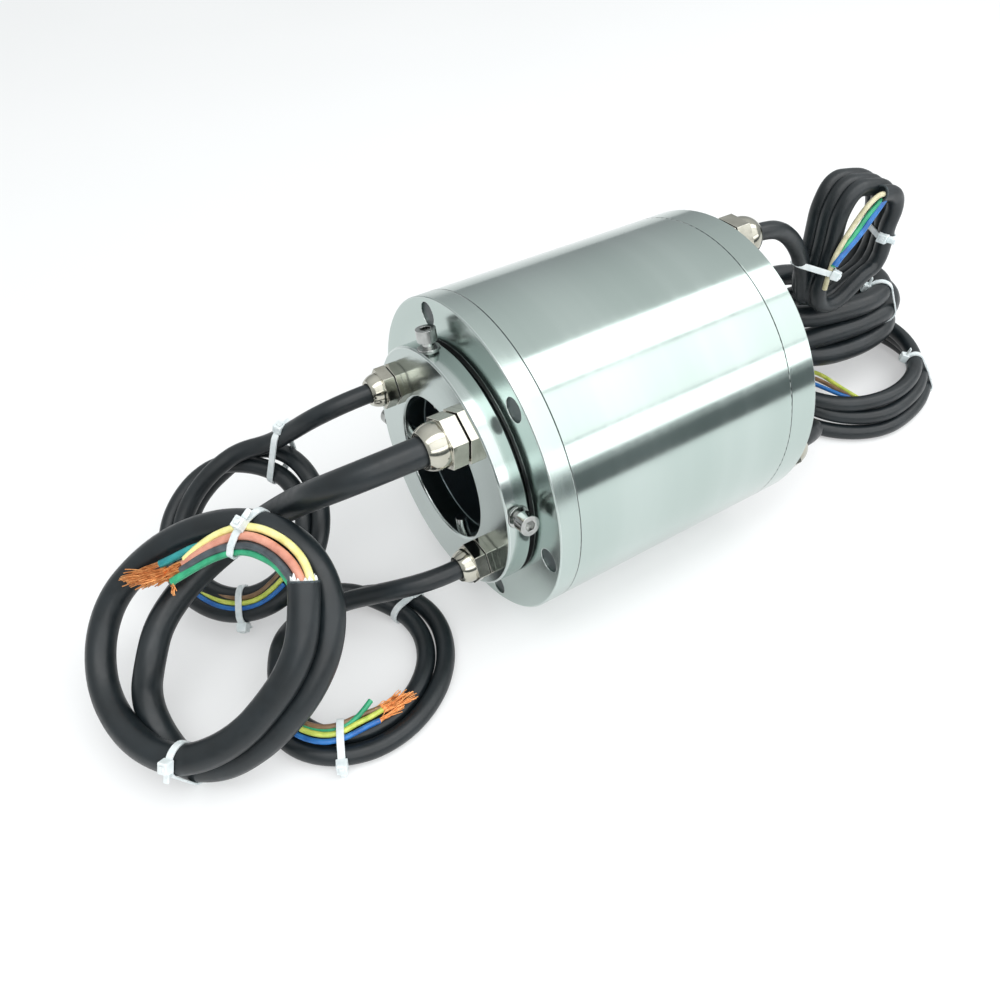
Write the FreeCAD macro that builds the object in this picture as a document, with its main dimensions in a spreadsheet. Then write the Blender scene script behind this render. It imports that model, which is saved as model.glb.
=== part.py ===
import FreeCAD, Part
import math
import os
import re
import Sketcher

# Hollow-shaft slip ring with three cables on its turning collar and three on its still drum.
# The drum lies on its side. The origin is on the bore axis in the plane of the drum's front face,
# +X runs along the bore to the rear and +Z is up. An angle is measured from +Z toward +Y.

# Driving sizes in millimetres and degrees
SIZES = {
    # Drum
    "drum_wall": 15.0,
    "front_flange_depth": 11.5,
    "rear_flange_depth": 17.0,
    "edge_chamfer": 0.5,
    "front_seal_section": 6.5,
    "front_seal_seat_depth": 8.0,
    "front_lip_gap": 3.5,
    "race_shoulder_height": 2.5,
    "race_shoulder_width": 2.5,
    "rear_seal_section": 7.5,
    "rear_lip_depth": 4.0,
    "rear_seat_wall": 3.0,
    "core_channel_wall": 0.5,
    "core_channel_depth": 5.5,
    # Flange screws and their wells
    "flange_screw_edge": 8.7,
    "front_screw_angle": 24.5,
    "rear_screw_angle": 33.0,
    "flange_screw_count": 6.0,
    "screw_radius": 3.0,
    "screw_hole_play": 0.3,
    "screw_grip": 16.0,
    "screw_hole_extra": 2.5,
    "screw_head_radius": 5.0,
    "screw_head_height": 6.0,
    "socket_flats": 5.0,
    "socket_depth": 3.0,
    "low_head_height": 4.3,
    "front_well_play": 1.15,
    "front_well_depth": 7.5,
    "plug_recess": 1.0,
    "rear_well_play": 0.5,
    # Shaft collar and sleeve
    "bore_radius": 38.0,
    "collar_bore_relief": 0.5,
    "collar_breadth": 26.5,
    "collar_front": 15.0,
    "collar_gap": 2.5,
    "collar_chamfer": 0.8,
    "spigot_wall": 3.0,
    "sleeve_wall": 4.5,
    "sleeve_overhang": 4.5,
    "hub_seal_step": 2.5,
    "hub_end_gap": 2.0,
    # Clamp screws round the collar
    "clamp_screw_angle": 14.0,
    "clamp_screw_count": 4.0,
    "clamp_screw_set": 8.7,
    "clamp_screw_length": 35.0,
    "clamp_head_gap": 3.3,
    "clamp_seat_cut": 0.6,
    "washer_radius": 5.5,
    "washer_height": 1.2,
    "washer_seat_play": 0.2,
    # Bearings
    "front_race_section": 15.0,
    "front_race_width": 16.0,
    "front_race_land": 4.5,
    "front_ball_radius": 4.5,
    "front_cage_wall": 3.8,
    "rear_race_section": 12.5,
    "rear_race_land": 4.1,
    "rear_ball_radius": 3.5,
    "rear_cage_wall": 2.9,
    "ball_count": 18.0,
    "ball_play": 0.1,
    "cage_play": 0.15,
    "cage_rim": 1.0,
    "seal_play": 0.05,
    "front_seal_set": 1.0,
    "rear_seal_set": 0.5,
    "seal_lip_width": 1.2,
    "seal_lip_rise": 1.2,
    "seal_lip_set": 2.0,
    "seal_back_step": 1.0,
    # Contact rings, their insulator and the brush gear
    "ring_bed": 5.5,
    "ring_height": 6.0,
    "power_ring_width": 7.0,
    "signal_ring_width": 4.5,
    "barrier_width": 2.5,
    "barrier_stand": 4.0,
    "insulator_collar_wall": 7.5,
    "insulator_front_margin": 4.5,
    "insulator_rear_margin": 7.0,
    "insulator_rear_gap": 9.5,
    "bar_width": 14.0,
    "bar_gap": 1.0,
    "bar_thickness": 11.0,
    "bar_front_gap": 1.0,
    "bar_rear_gap": 2.5,
    "bar_angle": 54.5,
    "power_brush_width": 5.0,
    "signal_brush_width": 3.0,
    "brush_breadth": 8.0,
    "brush_play": 0.05,
    "brush_set": 3.5,
    "brush_slot_depth": 7.5,
    "brush_stock": 6.0,
    "spring_breadth": 6.0,
    "spring_leaf": 0.4,
    "bar_screw_radius": 1.5,
    "bar_screw_grip": 8.0,
    "bar_front_land": 8.4,
    "bar_rear_land": 8.0,
    "bar_head_radius": 3.2,
    "bar_head_height": 4.0,
    "bar_head_sink": 0.5,
    # Cable glands
    "large_cable_radius": 7.25,
    "small_cable_radius": 5.0,
    "front_gland_set": 12.5,
    "first_gland_angle": -32.0,
    "second_gland_angle": 58.0,
    "third_gland_angle": -122.0,
    "front_thread_depth": 11.0,
    "large_thread_radius": 10.0,
    "small_thread_radius": 8.0,
    "passage_radius": 4.5,
    "fourth_gland_angle": 3.0,
    "fifth_gland_angle": 123.0,
    "sixth_gland_angle": -117.0,
    "gland_hex_relief": 0.6,
    "gland_nut_relief": 0.4,
}

# Gland patterns, outward from the seat: sizes of the body, the nut and its rounded crown
GLANDS = {
    "large": {
        "hex_flats": 25.0, "hex_height": 4.0, "neck_gap": 1.0, "nut_flats": 24.0,
        "nut_height": 8.0, "crown_height": 10.0, "crown_step": 0.8, "mouth_radius": 9.0,
        "crown_round": 12.0, "seat": 15.0, "nut_thread_radius": 9.6, "body_bore": 6.2,
        "mouth_play": 0.3,
    },
    "small": {
        "hex_flats": 19.0, "hex_height": 3.0, "neck_gap": 0.7, "nut_flats": 19.0,
        "nut_height": 6.0, "crown_height": 6.5, "crown_step": 0.7, "mouth_radius": 6.6,
        "crown_round": 9.0, "seat": 11.0, "nut_thread_radius": 7.3, "body_bore": 4.0,
        "mouth_play": 0.3,
    },
    "rear": {
        "hex_flats": 24.0, "hex_height": 4.0, "neck_gap": 1.0, "nut_flats": 24.0,
        "nut_height": 9.0, "crown_height": 10.0, "crown_step": 0.8, "mouth_radius": 9.0,
        "crown_round": 12.0, "seat": 16.0, "nut_thread_radius": 9.6, "body_bore": 4.0,
        "mouth_play": 0.3,
    },
}
for family, pattern in GLANDS.items():
    for size, number in pattern.items():
        SIZES["%s_%s" % (family, size)] = number

# The five wide power rings come first and the six narrow signal rings follow
POWER_RINGS = 5
SIGNAL_RINGS = 6
RING_COUNT = POWER_RINGS + SIGNAL_RINGS

# Sizes that follow from the driving ones, from the bore outward
DERIVED = {
    "sleeve_spigot_radius": "bore_radius + spigot_wall",
    "sleeve_radius": "bore_radius + sleeve_wall",
    "ring_inner": "sleeve_radius + ring_bed",
    "ring_outer": "ring_inner + ring_height",
    "barrier_radius": "ring_outer + barrier_stand",
    "insulator_collar_radius": "sleeve_radius + insulator_collar_wall",
    "bar_face": "barrier_radius + bar_gap",
    "brush_back": "bar_face + brush_set",
    "brush_slot_top": "bar_face + brush_slot_depth",
    "cavity_radius": "bar_face + bar_thickness",
    "drum_radius": "cavity_radius + drum_wall",
    "race_shoulder_radius": "cavity_radius - race_shoulder_height",
    "front_race_inner": "cavity_radius - front_race_section",
    "hub_seal_radius": "front_race_inner + hub_seal_step",
    "front_seal_seat_radius": "hub_seal_radius + front_seal_section",
    "front_lip_radius": "hub_seal_radius + front_lip_gap",
    "rear_race_outer": "sleeve_radius + rear_race_section",
    "rear_lip_radius": "sleeve_radius + rear_seal_section",
    "core_channel_inner": "rear_race_outer + rear_seat_wall",
    "front_cage_width": "2 * (front_ball_radius + cage_rim)",
    "rear_cage_width": "2 * (rear_ball_radius + cage_rim)",
    "flange_screw_pitch": "drum_radius - flange_screw_edge",
    "front_well_radius": "screw_head_radius + front_well_play",
    "collar_radius": "bore_radius + collar_breadth",
    "front_gland_pitch": "bore_radius + front_gland_set",
    "passage_pitch": "(sleeve_spigot_radius + front_race_inner) / 2",
    "rear_gland_pitch": "cavity_radius",
    "ring_stack": "%d * barrier_width + %d * power_ring_width + %d * signal_ring_width" % (
        RING_COUNT + 1, POWER_RINGS, SIGNAL_RINGS),
    "tube_length": "front_race_width + 2 * hub_end_gap + insulator_front_margin + ring_stack"
                   " + insulator_rear_margin + insulator_rear_gap",
}

# Positions along the bore, worked out from the sizes
TUBE_REAR = "(front_flange_depth + tube_length)"
DRUM_REAR = "(front_flange_depth + tube_length + rear_flange_depth)"
SLEEVE_REAR = "(front_flange_depth + tube_length + rear_flange_depth + sleeve_overhang)"
RACE_REAR = "(front_flange_depth + front_race_width)"
HUB_REAR = "(front_flange_depth + front_race_width + hub_end_gap)"
SHOULDER_REAR = "(front_flange_depth + front_race_width + race_shoulder_width)"
INSULATOR_FRONT = "(front_flange_depth + front_race_width + 2 * hub_end_gap)"
STACK_FRONT = "(front_flange_depth + front_race_width + 2 * hub_end_gap + insulator_front_margin)"
REAR_SEAT_WIDTH = "(rear_flange_depth - rear_lip_depth)"
REAR_RACE_REAR = "(front_flange_depth + tube_length + rear_flange_depth - rear_lip_depth)"
BAR_FRONT = "(front_flange_depth + front_race_width + race_shoulder_width + bar_front_gap)"
BAR_REAR = "(front_flange_depth + tube_length - bar_rear_gap)"
FRONT_BALL_PITCH = "((front_race_inner + cavity_radius) / 2)"
REAR_BALL_PITCH = "((sleeve_radius + rear_race_outer) / 2)"

# The bar screws stand at the ends of the bars, beside the outermost brushes
BAR_SCREW_PLACES = (
    ("(%s + bar_front_land / 2)" % BAR_FRONT, "0"), ("(%s - bar_rear_land)" % BAR_REAR, "0"),
)

# Routes of the loose cable ends after a straight run out of the gland, up to the coil
FIRST_RUN = 16.5
FIRST_ROUTE = [
    (-61.7, -23.2, 39.4), (-74.6, -16.4, 32.9), (-84.0, -7.1, 24.0), (-91.0, 7.5, 9.5),
    (-101.5, 18.0, -3.5), (-116.0, 25.5, -16.0), (-134.0, 28.0, -27.0), (-152.0, 24.5, -35.0),
    (-167.0, 15.5, -41.0), (-176.5, 3.0, -47.0),
]
SECOND_RUN = 10.0
SECOND_ROUTE = [
    (-46.5, 44.9, 24.4), (-55.6, 49.0, 19.8), (-62.6, 54.7, 13.5), (-70.0, 63.5, 3.5),
    (-79.0, 73.0, -7.0), (-91.0, 82.0, -16.5),
]
THIRD_RUN = 11.0
THIRD_ROUTE = [
    (-48.5, -40.2, -28.3), (-59.2, -34.6, -32.0), (-69.0, -26.0, -38.5), (-81.0, -13.5, -49.0),
    (-95.5, -4.0, -59.5), (-112.0, 0.5, -69.5), (-128.0, -1.5, -77.3),
]
FOURTH_RUN = 19.5
FOURTH_ROUTE = [
    (214.0, 5.0, 63.0), (234.0, 9.0, 46.0), (250.0, 12.0, 24.0), (257.0, 12.0, 4.0),
]
FIFTH_RUN = 18.5
FIFTH_ROUTE = [(214.0, 57.0, -37.6), (232.0, 51.5, -36.0), (249.0, 42.0, -33.5)]
SIXTH_RUN = 12.5
SIXTH_ROUTE = [
    (201.5, -59.8, -34.1), (211.4, -54.8, -38.6), (219.0, -47.8, -44.8), (226.5, -37.9, -53.6),
    (235.4, -24.7, -65.3), (242.0, -12.0, -76.0),
]

doc = FreeCAD.newDocument("slip_ring")
sheet = doc.addObject("Spreadsheet::Sheet", "Dims")
cells = [(alias, str(number)) for alias, number in SIZES.items()]
cells += [(alias, "=" + formula) for alias, formula in DERIVED.items()]
for row, (alias, content) in enumerate(cells, start=1):
    sheet.set("A%d" % row, alias.replace("_", " "))
    sheet.set("B%d" % row, content)
    sheet.setAlias("B%d" % row, alias)
doc.recompute()

kept = []


def named(formula):
    """The formula with each size name pointing at its cell of the sheet."""
    def cell(match):
        word = match.group(0)
        return "Dims." + word if word in SIZES or word in DERIVED else word
    return re.sub(r"[a-z][a-z_0-9]*", cell, str(formula))


def value(formula):
    """The number that a formula gives with the sheet's sizes."""
    result = sheet.evalExpression(named(formula))
    return float(getattr(result, "Value", result))


def round_place(pitch, angle):
    """Where a point at a radius and an angle lies, across and up."""
    return "%s * sin(%s)" % (pitch, angle), "%s * cos(%s)" % (pitch, angle)


def new_body(label):
    """A body that becomes one node of the part."""
    body = doc.addObject("PartDesign::Body", label)
    body.Label = label
    body.AllowCompound = True
    kept.append(body)
    return body


def origin_item(body, role):
    """One of the body's own origin planes or axes."""
    return next(item for item in body.Origin.OriginFeatures if item.Role == role)


def new_sketch(body, role, name, offset="0"):
    """A sketch on an origin plane of the body, moved along that plane's normal."""
    sketch = body.newObject("Sketcher::SketchObject", name)
    sketch.AttachmentSupport = [(origin_item(body, role), "")]
    sketch.MapMode = "FlatFace"
    sketch.setExpression(".AttachmentOffset.Base.z", named(offset))
    doc.recompute()
    return sketch


def tie(sketch, kind, places, formula):
    """A dimension of the sketch that follows a formula."""
    number = sketch.addConstraint(Sketcher.Constraint(kind, *places, value(formula)))
    sketch.setExpression("Constraints[%d]" % number, named(formula))


def arc_through(start, end, radius):
    """The short arc between two places; a positive radius bulges to the left of that way."""
    chord = end - start
    half = chord.Length / 2
    fall = math.sqrt(radius * radius - half * half)
    left = FreeCAD.Vector(-chord.y, chord.x, 0).normalize()
    centre = (start + end) * 0.5 - left * math.copysign(fall, radius)
    first, last = (end, start) if radius > 0 else (start, end)
    circle = Part.Circle(centre, FreeCAD.Vector(0, 0, 1), abs(radius))
    angles = [math.atan2(place.y - centre.y, place.x - centre.x) for place in (first, last)]
    return Part.ArcOfCircle(circle, angles[0], angles[1])


def draw_outline(sketch, corners):
    """A closed outline. A corner has two formulas, and a third, a radius, where an arc ends."""
    places = [FreeCAD.Vector(value(corner[0]), value(corner[1]), 0) for corner in corners]
    ends = []
    for number, start in enumerate(places):
        goal = (number + 1) % len(places)
        bend = corners[goal][2] if len(corners[goal]) > 2 else None
        if bend is None:
            edge = sketch.addGeometry(Part.LineSegment(start, places[goal]), False)
        else:
            edge = sketch.addGeometry(arc_through(start, places[goal], value(bend)), False)
        backward = bend is not None and value(bend) > 0
        ends.append((edge, 2, 1) if backward else (edge, 1, 2))
        if bend is not None:
            tie(sketch, "Radius", (edge,), "abs(%s)" % bend)
    for number, (edge, head, tail) in enumerate(ends):
        after, after_head, after_tail = ends[(number + 1) % len(ends)]
        sketch.addConstraint(Sketcher.Constraint("Coincident", edge, tail, after, after_head))
        tie(sketch, "DistanceX", (-1, 1, edge, head), corners[number][0])
        tie(sketch, "DistanceY", (-1, 1, edge, head), corners[number][1])


def draw_circle(sketch, centre, radius):
    """A circle whose centre and radius follow formulas."""
    middle = FreeCAD.Vector(value(centre[0]), value(centre[1]), 0)
    edge = sketch.addGeometry(Part.Circle(middle, FreeCAD.Vector(0, 0, 1), value(radius)), False)
    tie(sketch, "DistanceX", (-1, 1, edge, 3), centre[0])
    tie(sketch, "DistanceY", (-1, 1, edge, 3), centre[1])
    tie(sketch, "Radius", (edge,), radius)


def hexagon(flats, centre=("0", "0")):
    """The six corners of a hexagon with a flat at the top, from its size across flats."""
    corners = []
    for corner in range(6):
        turn = 60 * corner
        across = "%s + %s / sqrt(3) * cos(%d)" % (centre[0], flats, turn)
        up = "%s + %s / sqrt(3) * sin(%d)" % (centre[1], flats, turn)
        corners.append((across, up))
    return corners


def rectangle(left, right, low, high):
    """The four corners of an upright rectangle."""
    return [(left, low), (right, low), (right, high), (left, high)]


def turn_profile(body, corners, name="Profile"):
    """Turn an outline of places along the bore and radii round the X axis."""
    sketch = new_sketch(body, "XZ_Plane", name)
    draw_outline(sketch, corners)
    feature = body.newObject("PartDesign::Revolution", name + "Turned")
    feature.Profile = sketch
    feature.ReferenceAxis = (sketch, ["H_Axis"])
    feature.Angle = 360
    body.Tip = feature
    doc.recompute()
    return feature


def turn_track(body, centre_x, pitch, radius):
    """A ball track cut round the bore axis."""
    sketch = new_sketch(body, "XZ_Plane", "Track")
    draw_circle(sketch, (centre_x, pitch), radius)
    return cut_round(body, sketch, "TrackCut")


def cut_round(body, sketch, name):
    """Cut a sketched outline away all round the bore axis."""
    feature = body.newObject("PartDesign::Groove", name)
    feature.Profile = sketch
    feature.ReferenceAxis = (sketch, ["H_Axis"])
    feature.Angle = 360
    body.Tip = feature
    doc.recompute()
    return feature


def push(body, kind, sketch, depth, forward, name):
    """Pad or pocket a sketch by a depth, forward along its plane's normal or back."""
    feature = body.newObject("PartDesign::" + kind, name)
    feature.Profile = sketch
    feature.setExpression("Length", named(depth))
    feature.Reversed = forward if kind == "Pocket" else not forward
    body.Tip = feature
    doc.recompute()
    return feature


def pad(body, sketch, depth, name, forward=True):
    """Add material from a sketch."""
    return push(body, "Pad", sketch, depth, forward, name)


def pocket(body, sketch, depth, name, forward=True):
    """Take material away from a sketch and see that something went."""
    before = body.Shape.Volume
    feature = push(body, "Pocket", sketch, depth, forward, name)
    if body.Shape.Volume > before - 1e-3:
        raise RuntimeError("%s takes nothing from %s" % (name, body.Label))
    return feature


def repeat_round(body, features, count, name="Round"):
    """Repeat features evenly round the bore axis."""
    pattern = body.newObject("PartDesign::PolarPattern", name)
    pattern.Originals = features
    pattern.Axis = (origin_item(body, "X_Axis"), [""])
    pattern.Angle = 360
    pattern.setExpression("Occurrences", named(count))
    body.Tip = pattern
    doc.recompute()
    return pattern


def turn_to(body, angle):
    """Turn a body about the bore axis so that its top comes to the angle."""
    lean = FreeCAD.Rotation(FreeCAD.Vector(1, 0, 0), -value(angle))
    body.Placement = FreeCAD.Placement(FreeCAD.Vector(), lean)
    body.setExpression(".Placement.Rotation.Angle", named("-(%s) * 1 deg" % angle))


def drill(body, from_x, depth, centres, radius, name, forward=True):
    """Holes along the bore direction, all of one size."""
    sketch = new_sketch(body, "YZ_Plane", name + "Circles", from_x)
    for centre in centres:
        draw_circle(sketch, centre, radius)
    return pocket(body, sketch, depth, name, forward)


def make_front_flange():
    """Front flange with the seal seat, a lip over the bearing and six screw wells."""
    body = new_body("front_flange")
    turn_profile(body, [
        ("0", "front_seal_seat_radius"), ("0", "drum_radius - edge_chamfer"),
        ("edge_chamfer", "drum_radius"), ("front_flange_depth", "drum_radius"),
        ("front_flange_depth", "front_lip_radius"), ("front_seal_seat_depth", "front_lip_radius"),
        ("front_seal_seat_depth", "front_seal_seat_radius"),
    ])
    centre = round_place("flange_screw_pitch", "front_screw_angle")
    well = drill(body, "0", "front_well_depth", [centre], "front_well_radius", "Well")
    hole = drill(body, "0", "front_flange_depth", [centre], "screw_radius + screw_hole_play", "Hole")
    repeat_round(body, [well, hole], "flange_screw_count")


def make_housing_tube():
    """Drum tube with the bearing shoulder and tapped holes for both flanges and the brush bars."""
    body = new_body("housing_tube")
    turn_profile(body, [
        ("front_flange_depth", "cavity_radius"), ("front_flange_depth", "drum_radius"),
        (TUBE_REAR, "drum_radius"), (TUBE_REAR, "cavity_radius"),
        (SHOULDER_REAR, "cavity_radius"), (SHOULDER_REAR, "race_shoulder_radius"),
        (RACE_REAR, "race_shoulder_radius"), (RACE_REAR, "cavity_radius"),
    ])
    front = round_place("flange_screw_pitch", "(front_screw_angle - bar_angle)")
    front_depth = "front_well_depth + screw_grip + screw_hole_extra - front_flange_depth"
    front_hole = drill(body, "front_flange_depth", front_depth, [front], "screw_radius", "FrontTap")
    repeat_round(body, [front_hole], "flange_screw_count", "FrontTaps")
    rear = round_place("flange_screw_pitch", "(rear_screw_angle - bar_angle)")
    rear_depth = "screw_grip + screw_head_height + screw_hole_extra"
    rear_hole = drill(body, TUBE_REAR, rear_depth, [rear], "screw_radius", "RearTap", forward=False)
    repeat_round(body, [rear_hole], "flange_screw_count", "RearTaps")
    circles = new_sketch(body, "XY_Plane", "BarTapCircles", "race_shoulder_radius")
    for place in BAR_SCREW_PLACES:
        draw_circle(circles, place, "bar_screw_radius")
    taps = pocket(body, circles, "race_shoulder_height + bar_screw_grip + screw_hole_extra", "BarTap")
    repeat_round(body, [taps], "2", "BarTaps")
    turn_to(body, "bar_angle")


def make_rear_flange():
    """Rear flange with the bearing seat, the lip, the channel for the cores and the gland holes."""
    body = new_body("rear_flange")
    channel_end = "(front_flange_depth + tube_length + core_channel_depth)"
    turn_profile(body, [
        (TUBE_REAR, "rear_race_outer"), (TUBE_REAR, "core_channel_inner"),
        (channel_end, "core_channel_inner"), (channel_end, "cavity_radius - core_channel_wall"),
        (TUBE_REAR, "cavity_radius - core_channel_wall"), (TUBE_REAR, "drum_radius"),
        (DRUM_REAR + " - edge_chamfer", "drum_radius"), (DRUM_REAR, "drum_radius - edge_chamfer"),
        (DRUM_REAR, "rear_lip_radius"), (REAR_RACE_REAR, "rear_lip_radius"),
        (REAR_RACE_REAR, "rear_race_outer"),
    ])
    screw = round_place("flange_screw_pitch", "rear_screw_angle")
    well = drill(body, DRUM_REAR, "screw_head_height", [screw], "screw_head_radius + rear_well_play",
                 "Well", forward=False)
    hole = drill(body, DRUM_REAR, "rear_flange_depth", [screw], "screw_radius + screw_hole_play",
                 "Hole", forward=False)
    repeat_round(body, [well, hole], "flange_screw_count")
    glands = ("fourth_gland_angle", "fifth_gland_angle", "sixth_gland_angle")
    centres = [round_place("rear_gland_pitch", angle) for angle in glands]
    drill(body, DRUM_REAR, "rear_flange_depth - core_channel_depth", centres, "large_thread_radius",
          "GlandHoles", forward=False)


def make_socket_screws(label, head_x, head_height, shank, angle, toward_rear):
    """A ring of socket head screws along the bore; head_x is where the shank starts."""
    body = new_body(label)
    centre = round_place("flange_screw_pitch", angle)
    seat = new_sketch(body, "YZ_Plane", "Head", head_x)
    draw_circle(seat, centre, "screw_head_radius")
    head = pad(body, seat, head_height, "HeadPad", forward=not toward_rear)
    stem = new_sketch(body, "YZ_Plane", "Shank", head_x)
    draw_circle(stem, centre, "screw_radius")
    shank_pad = pad(body, stem, shank, "ShankPad", forward=toward_rear)
    top_x = "%s %s %s" % (head_x, "-" if toward_rear else "+", head_height)
    key = new_sketch(body, "YZ_Plane", "Key", top_x)
    draw_outline(key, hexagon("socket_flats", centre))
    socket = pocket(body, key, "socket_depth", "Socket", forward=toward_rear)
    repeat_round(body, [head, shank_pad, socket], "flange_screw_count")


def make_screw_plugs():
    """Plugs that close the front wells over the screw heads."""
    body = new_body("screw_plugs")
    sketch = new_sketch(body, "YZ_Plane", "Plug", "plug_recess")
    draw_circle(sketch, round_place("flange_screw_pitch", "front_screw_angle"), "front_well_radius")
    plug = pad(body, sketch, "front_well_depth - low_head_height - plug_recess", "PlugPad")
    repeat_round(body, [plug], "flange_screw_count")


def make_race(label, front_x, rear_x, inner, outer, pitch, ball_radius):
    """A bearing race: a plain ring with a ball track."""
    body = new_body(label)
    turn_profile(body, rectangle(front_x, rear_x, inner, outer))
    turn_track(body, "(%s + %s) / 2" % (front_x, rear_x), pitch, "%s + ball_play" % ball_radius)


def make_balls(label, centre_x, pitch, ball_radius):
    """A full circle of bearing balls."""
    balls = []
    for number in range(int(SIZES["ball_count"])):
        ball = doc.addObject("Part::Sphere", "%s_%02d" % (label, number + 1))
        ball.setExpression("Radius", named(ball_radius))
        turn = "(360 * %d / ball_count)" % number
        across, up = round_place(pitch, turn)
        ball.setExpression(".Placement.Base.x", named(centre_x))
        ball.setExpression(".Placement.Base.y", named(across))
        ball.setExpression(".Placement.Base.z", named(up))
        balls.append(ball)
    group = doc.addObject("Part::Compound", label)
    group.Label = label
    group.Links = balls
    kept.append(group)


def make_cage(label, centre_x, pitch, width, wall, ball_radius):
    """A ball cage: a band with one round pocket for each ball."""
    body = new_body(label)
    turn_profile(body, rectangle(
        "%s - %s / 2" % (centre_x, width), "%s + %s / 2" % (centre_x, width),
        "%s - %s / 2" % (pitch, wall), "%s + %s / 2" % (pitch, wall)))
    sketch = new_sketch(body, "XY_Plane", "BallPocket", "%s - %s" % (pitch, wall))
    draw_circle(sketch, (centre_x, "0"), "%s + cage_play" % ball_radius)
    hole = pocket(body, sketch, "2 * %s" % wall, "PocketCut")
    repeat_round(body, [hole], "ball_count")


def make_front_bearing():
    """Thin-section ball bearing between the drum and the collar's hub."""
    centre_x = "(front_flange_depth + front_race_width / 2)"
    make_race("front_bearing_inner_race", "front_flange_depth", RACE_REAR, "front_race_inner",
              "front_race_inner + front_race_land", FRONT_BALL_PITCH, "front_ball_radius")
    make_race("front_bearing_outer_race", "front_flange_depth", RACE_REAR,
              "cavity_radius - front_race_land", "cavity_radius", FRONT_BALL_PITCH,
              "front_ball_radius")
    make_balls("front_bearing_balls", centre_x, FRONT_BALL_PITCH, "front_ball_radius")
    make_cage("front_bearing_cage", centre_x, FRONT_BALL_PITCH, "front_cage_width",
              "front_cage_wall", "front_ball_radius")


def make_rear_bearing():
    """Thin-section ball bearing between the rear flange and the sleeve."""
    centre_x = "(front_flange_depth + tube_length + %s / 2)" % REAR_SEAT_WIDTH
    make_race("rear_bearing_inner_race", TUBE_REAR, REAR_RACE_REAR, "sleeve_radius",
              "sleeve_radius + rear_race_land", REAR_BALL_PITCH, "rear_ball_radius")
    make_race("rear_bearing_outer_race", TUBE_REAR, REAR_RACE_REAR,
              "rear_race_outer - rear_race_land", "rear_race_outer", REAR_BALL_PITCH,
              "rear_ball_radius")
    make_balls("rear_bearing_balls", centre_x, REAR_BALL_PITCH, "rear_ball_radius")
    make_cage("rear_bearing_cage", centre_x, REAR_BALL_PITCH, "rear_cage_width",
              "rear_cage_wall", "rear_ball_radius")


def make_seals():
    """Lip seals at both ends; the lips run on the hub and on the sleeve."""
    front = new_body("front_seal")
    lip = "hub_seal_radius + seal_play"
    turn_profile(front, [
        ("front_seal_set", "front_seal_seat_radius"), ("front_seal_seat_depth", "front_seal_seat_radius"),
        ("front_seal_seat_depth", "front_lip_radius - seal_back_step"),
        ("front_seal_set + seal_lip_set + 2 * seal_lip_width", lip + " + seal_lip_rise"),
        ("front_seal_set + seal_lip_set + seal_lip_width", lip),
        ("front_seal_set + seal_lip_set", lip), ("front_seal_set", lip + " + seal_lip_rise"),
    ])
    rear = new_body("rear_seal")
    lip = "sleeve_radius + seal_play"
    start = REAR_RACE_REAR + " + rear_seal_set"
    turn_profile(rear, [
        (start, "rear_lip_radius"), (DRUM_REAR, "rear_lip_radius"),
        (DRUM_REAR, lip + " + seal_lip_rise"), (start + " + 2 * seal_lip_width", lip),
        (start + " + seal_lip_width", lip), (start, lip + " + seal_lip_rise"),
    ])


def make_collar():
    """Turning collar: a disc with the gland and clamp screw holes, and a hub for the bearing."""
    body = new_body("rotor_collar")
    bore = "bore_radius + collar_bore_relief"
    turn_profile(body, [
        ("-collar_front", bore + " + collar_chamfer"),
        ("-collar_front", "collar_radius - collar_chamfer"),
        ("collar_chamfer - collar_front", "collar_radius"),
        ("-collar_gap - collar_chamfer", "collar_radius"),
        ("-collar_gap", "collar_radius - collar_chamfer"), ("-collar_gap", "hub_seal_radius"),
        ("front_flange_depth", "hub_seal_radius"), ("front_flange_depth", "front_race_inner"),
        (HUB_REAR, "front_race_inner"), (HUB_REAR, "sleeve_spigot_radius"),
        ("-collar_gap", "sleeve_spigot_radius"), ("-collar_gap", bore),
        ("collar_chamfer - collar_front", bore),
    ])
    turned = "(%s - clamp_screw_angle)"
    first = round_place("front_gland_pitch", turned % "first_gland_angle")
    others = [round_place("front_gland_pitch", turned % angle)
              for angle in ("second_gland_angle", "third_gland_angle")]
    drill(body, "-collar_front", "front_thread_depth", [first], "large_thread_radius", "LargeThread")
    drill(body, "-collar_front", "front_thread_depth", others, "small_thread_radius", "SmallThreads")
    angles = ("first_gland_angle", "second_gland_angle", "third_gland_angle")
    passages = [round_place("passage_pitch", turned % angle) for angle in angles]
    drill(body, "-collar_front", "collar_front + " + HUB_REAR, passages, "passage_radius", "Passages")
    seat = new_sketch(body, "XY_Plane", "ScrewSeat", "collar_radius - clamp_seat_cut")
    draw_circle(seat, ("-clamp_screw_set", "0"), "washer_radius + washer_seat_play")
    spot = pocket(body, seat, "2 * clamp_seat_cut", "SpotFace")
    tap = new_sketch(body, "XY_Plane", "ScrewTap", "bore_radius - screw_radius")
    draw_circle(tap, ("-clamp_screw_set", "0"), "screw_radius")
    hole = pocket(body, tap, "collar_breadth + 2 * screw_radius", "TapCut")
    repeat_round(body, [spot, hole], "clamp_screw_count")
    turn_to(body, "clamp_screw_angle")


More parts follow.
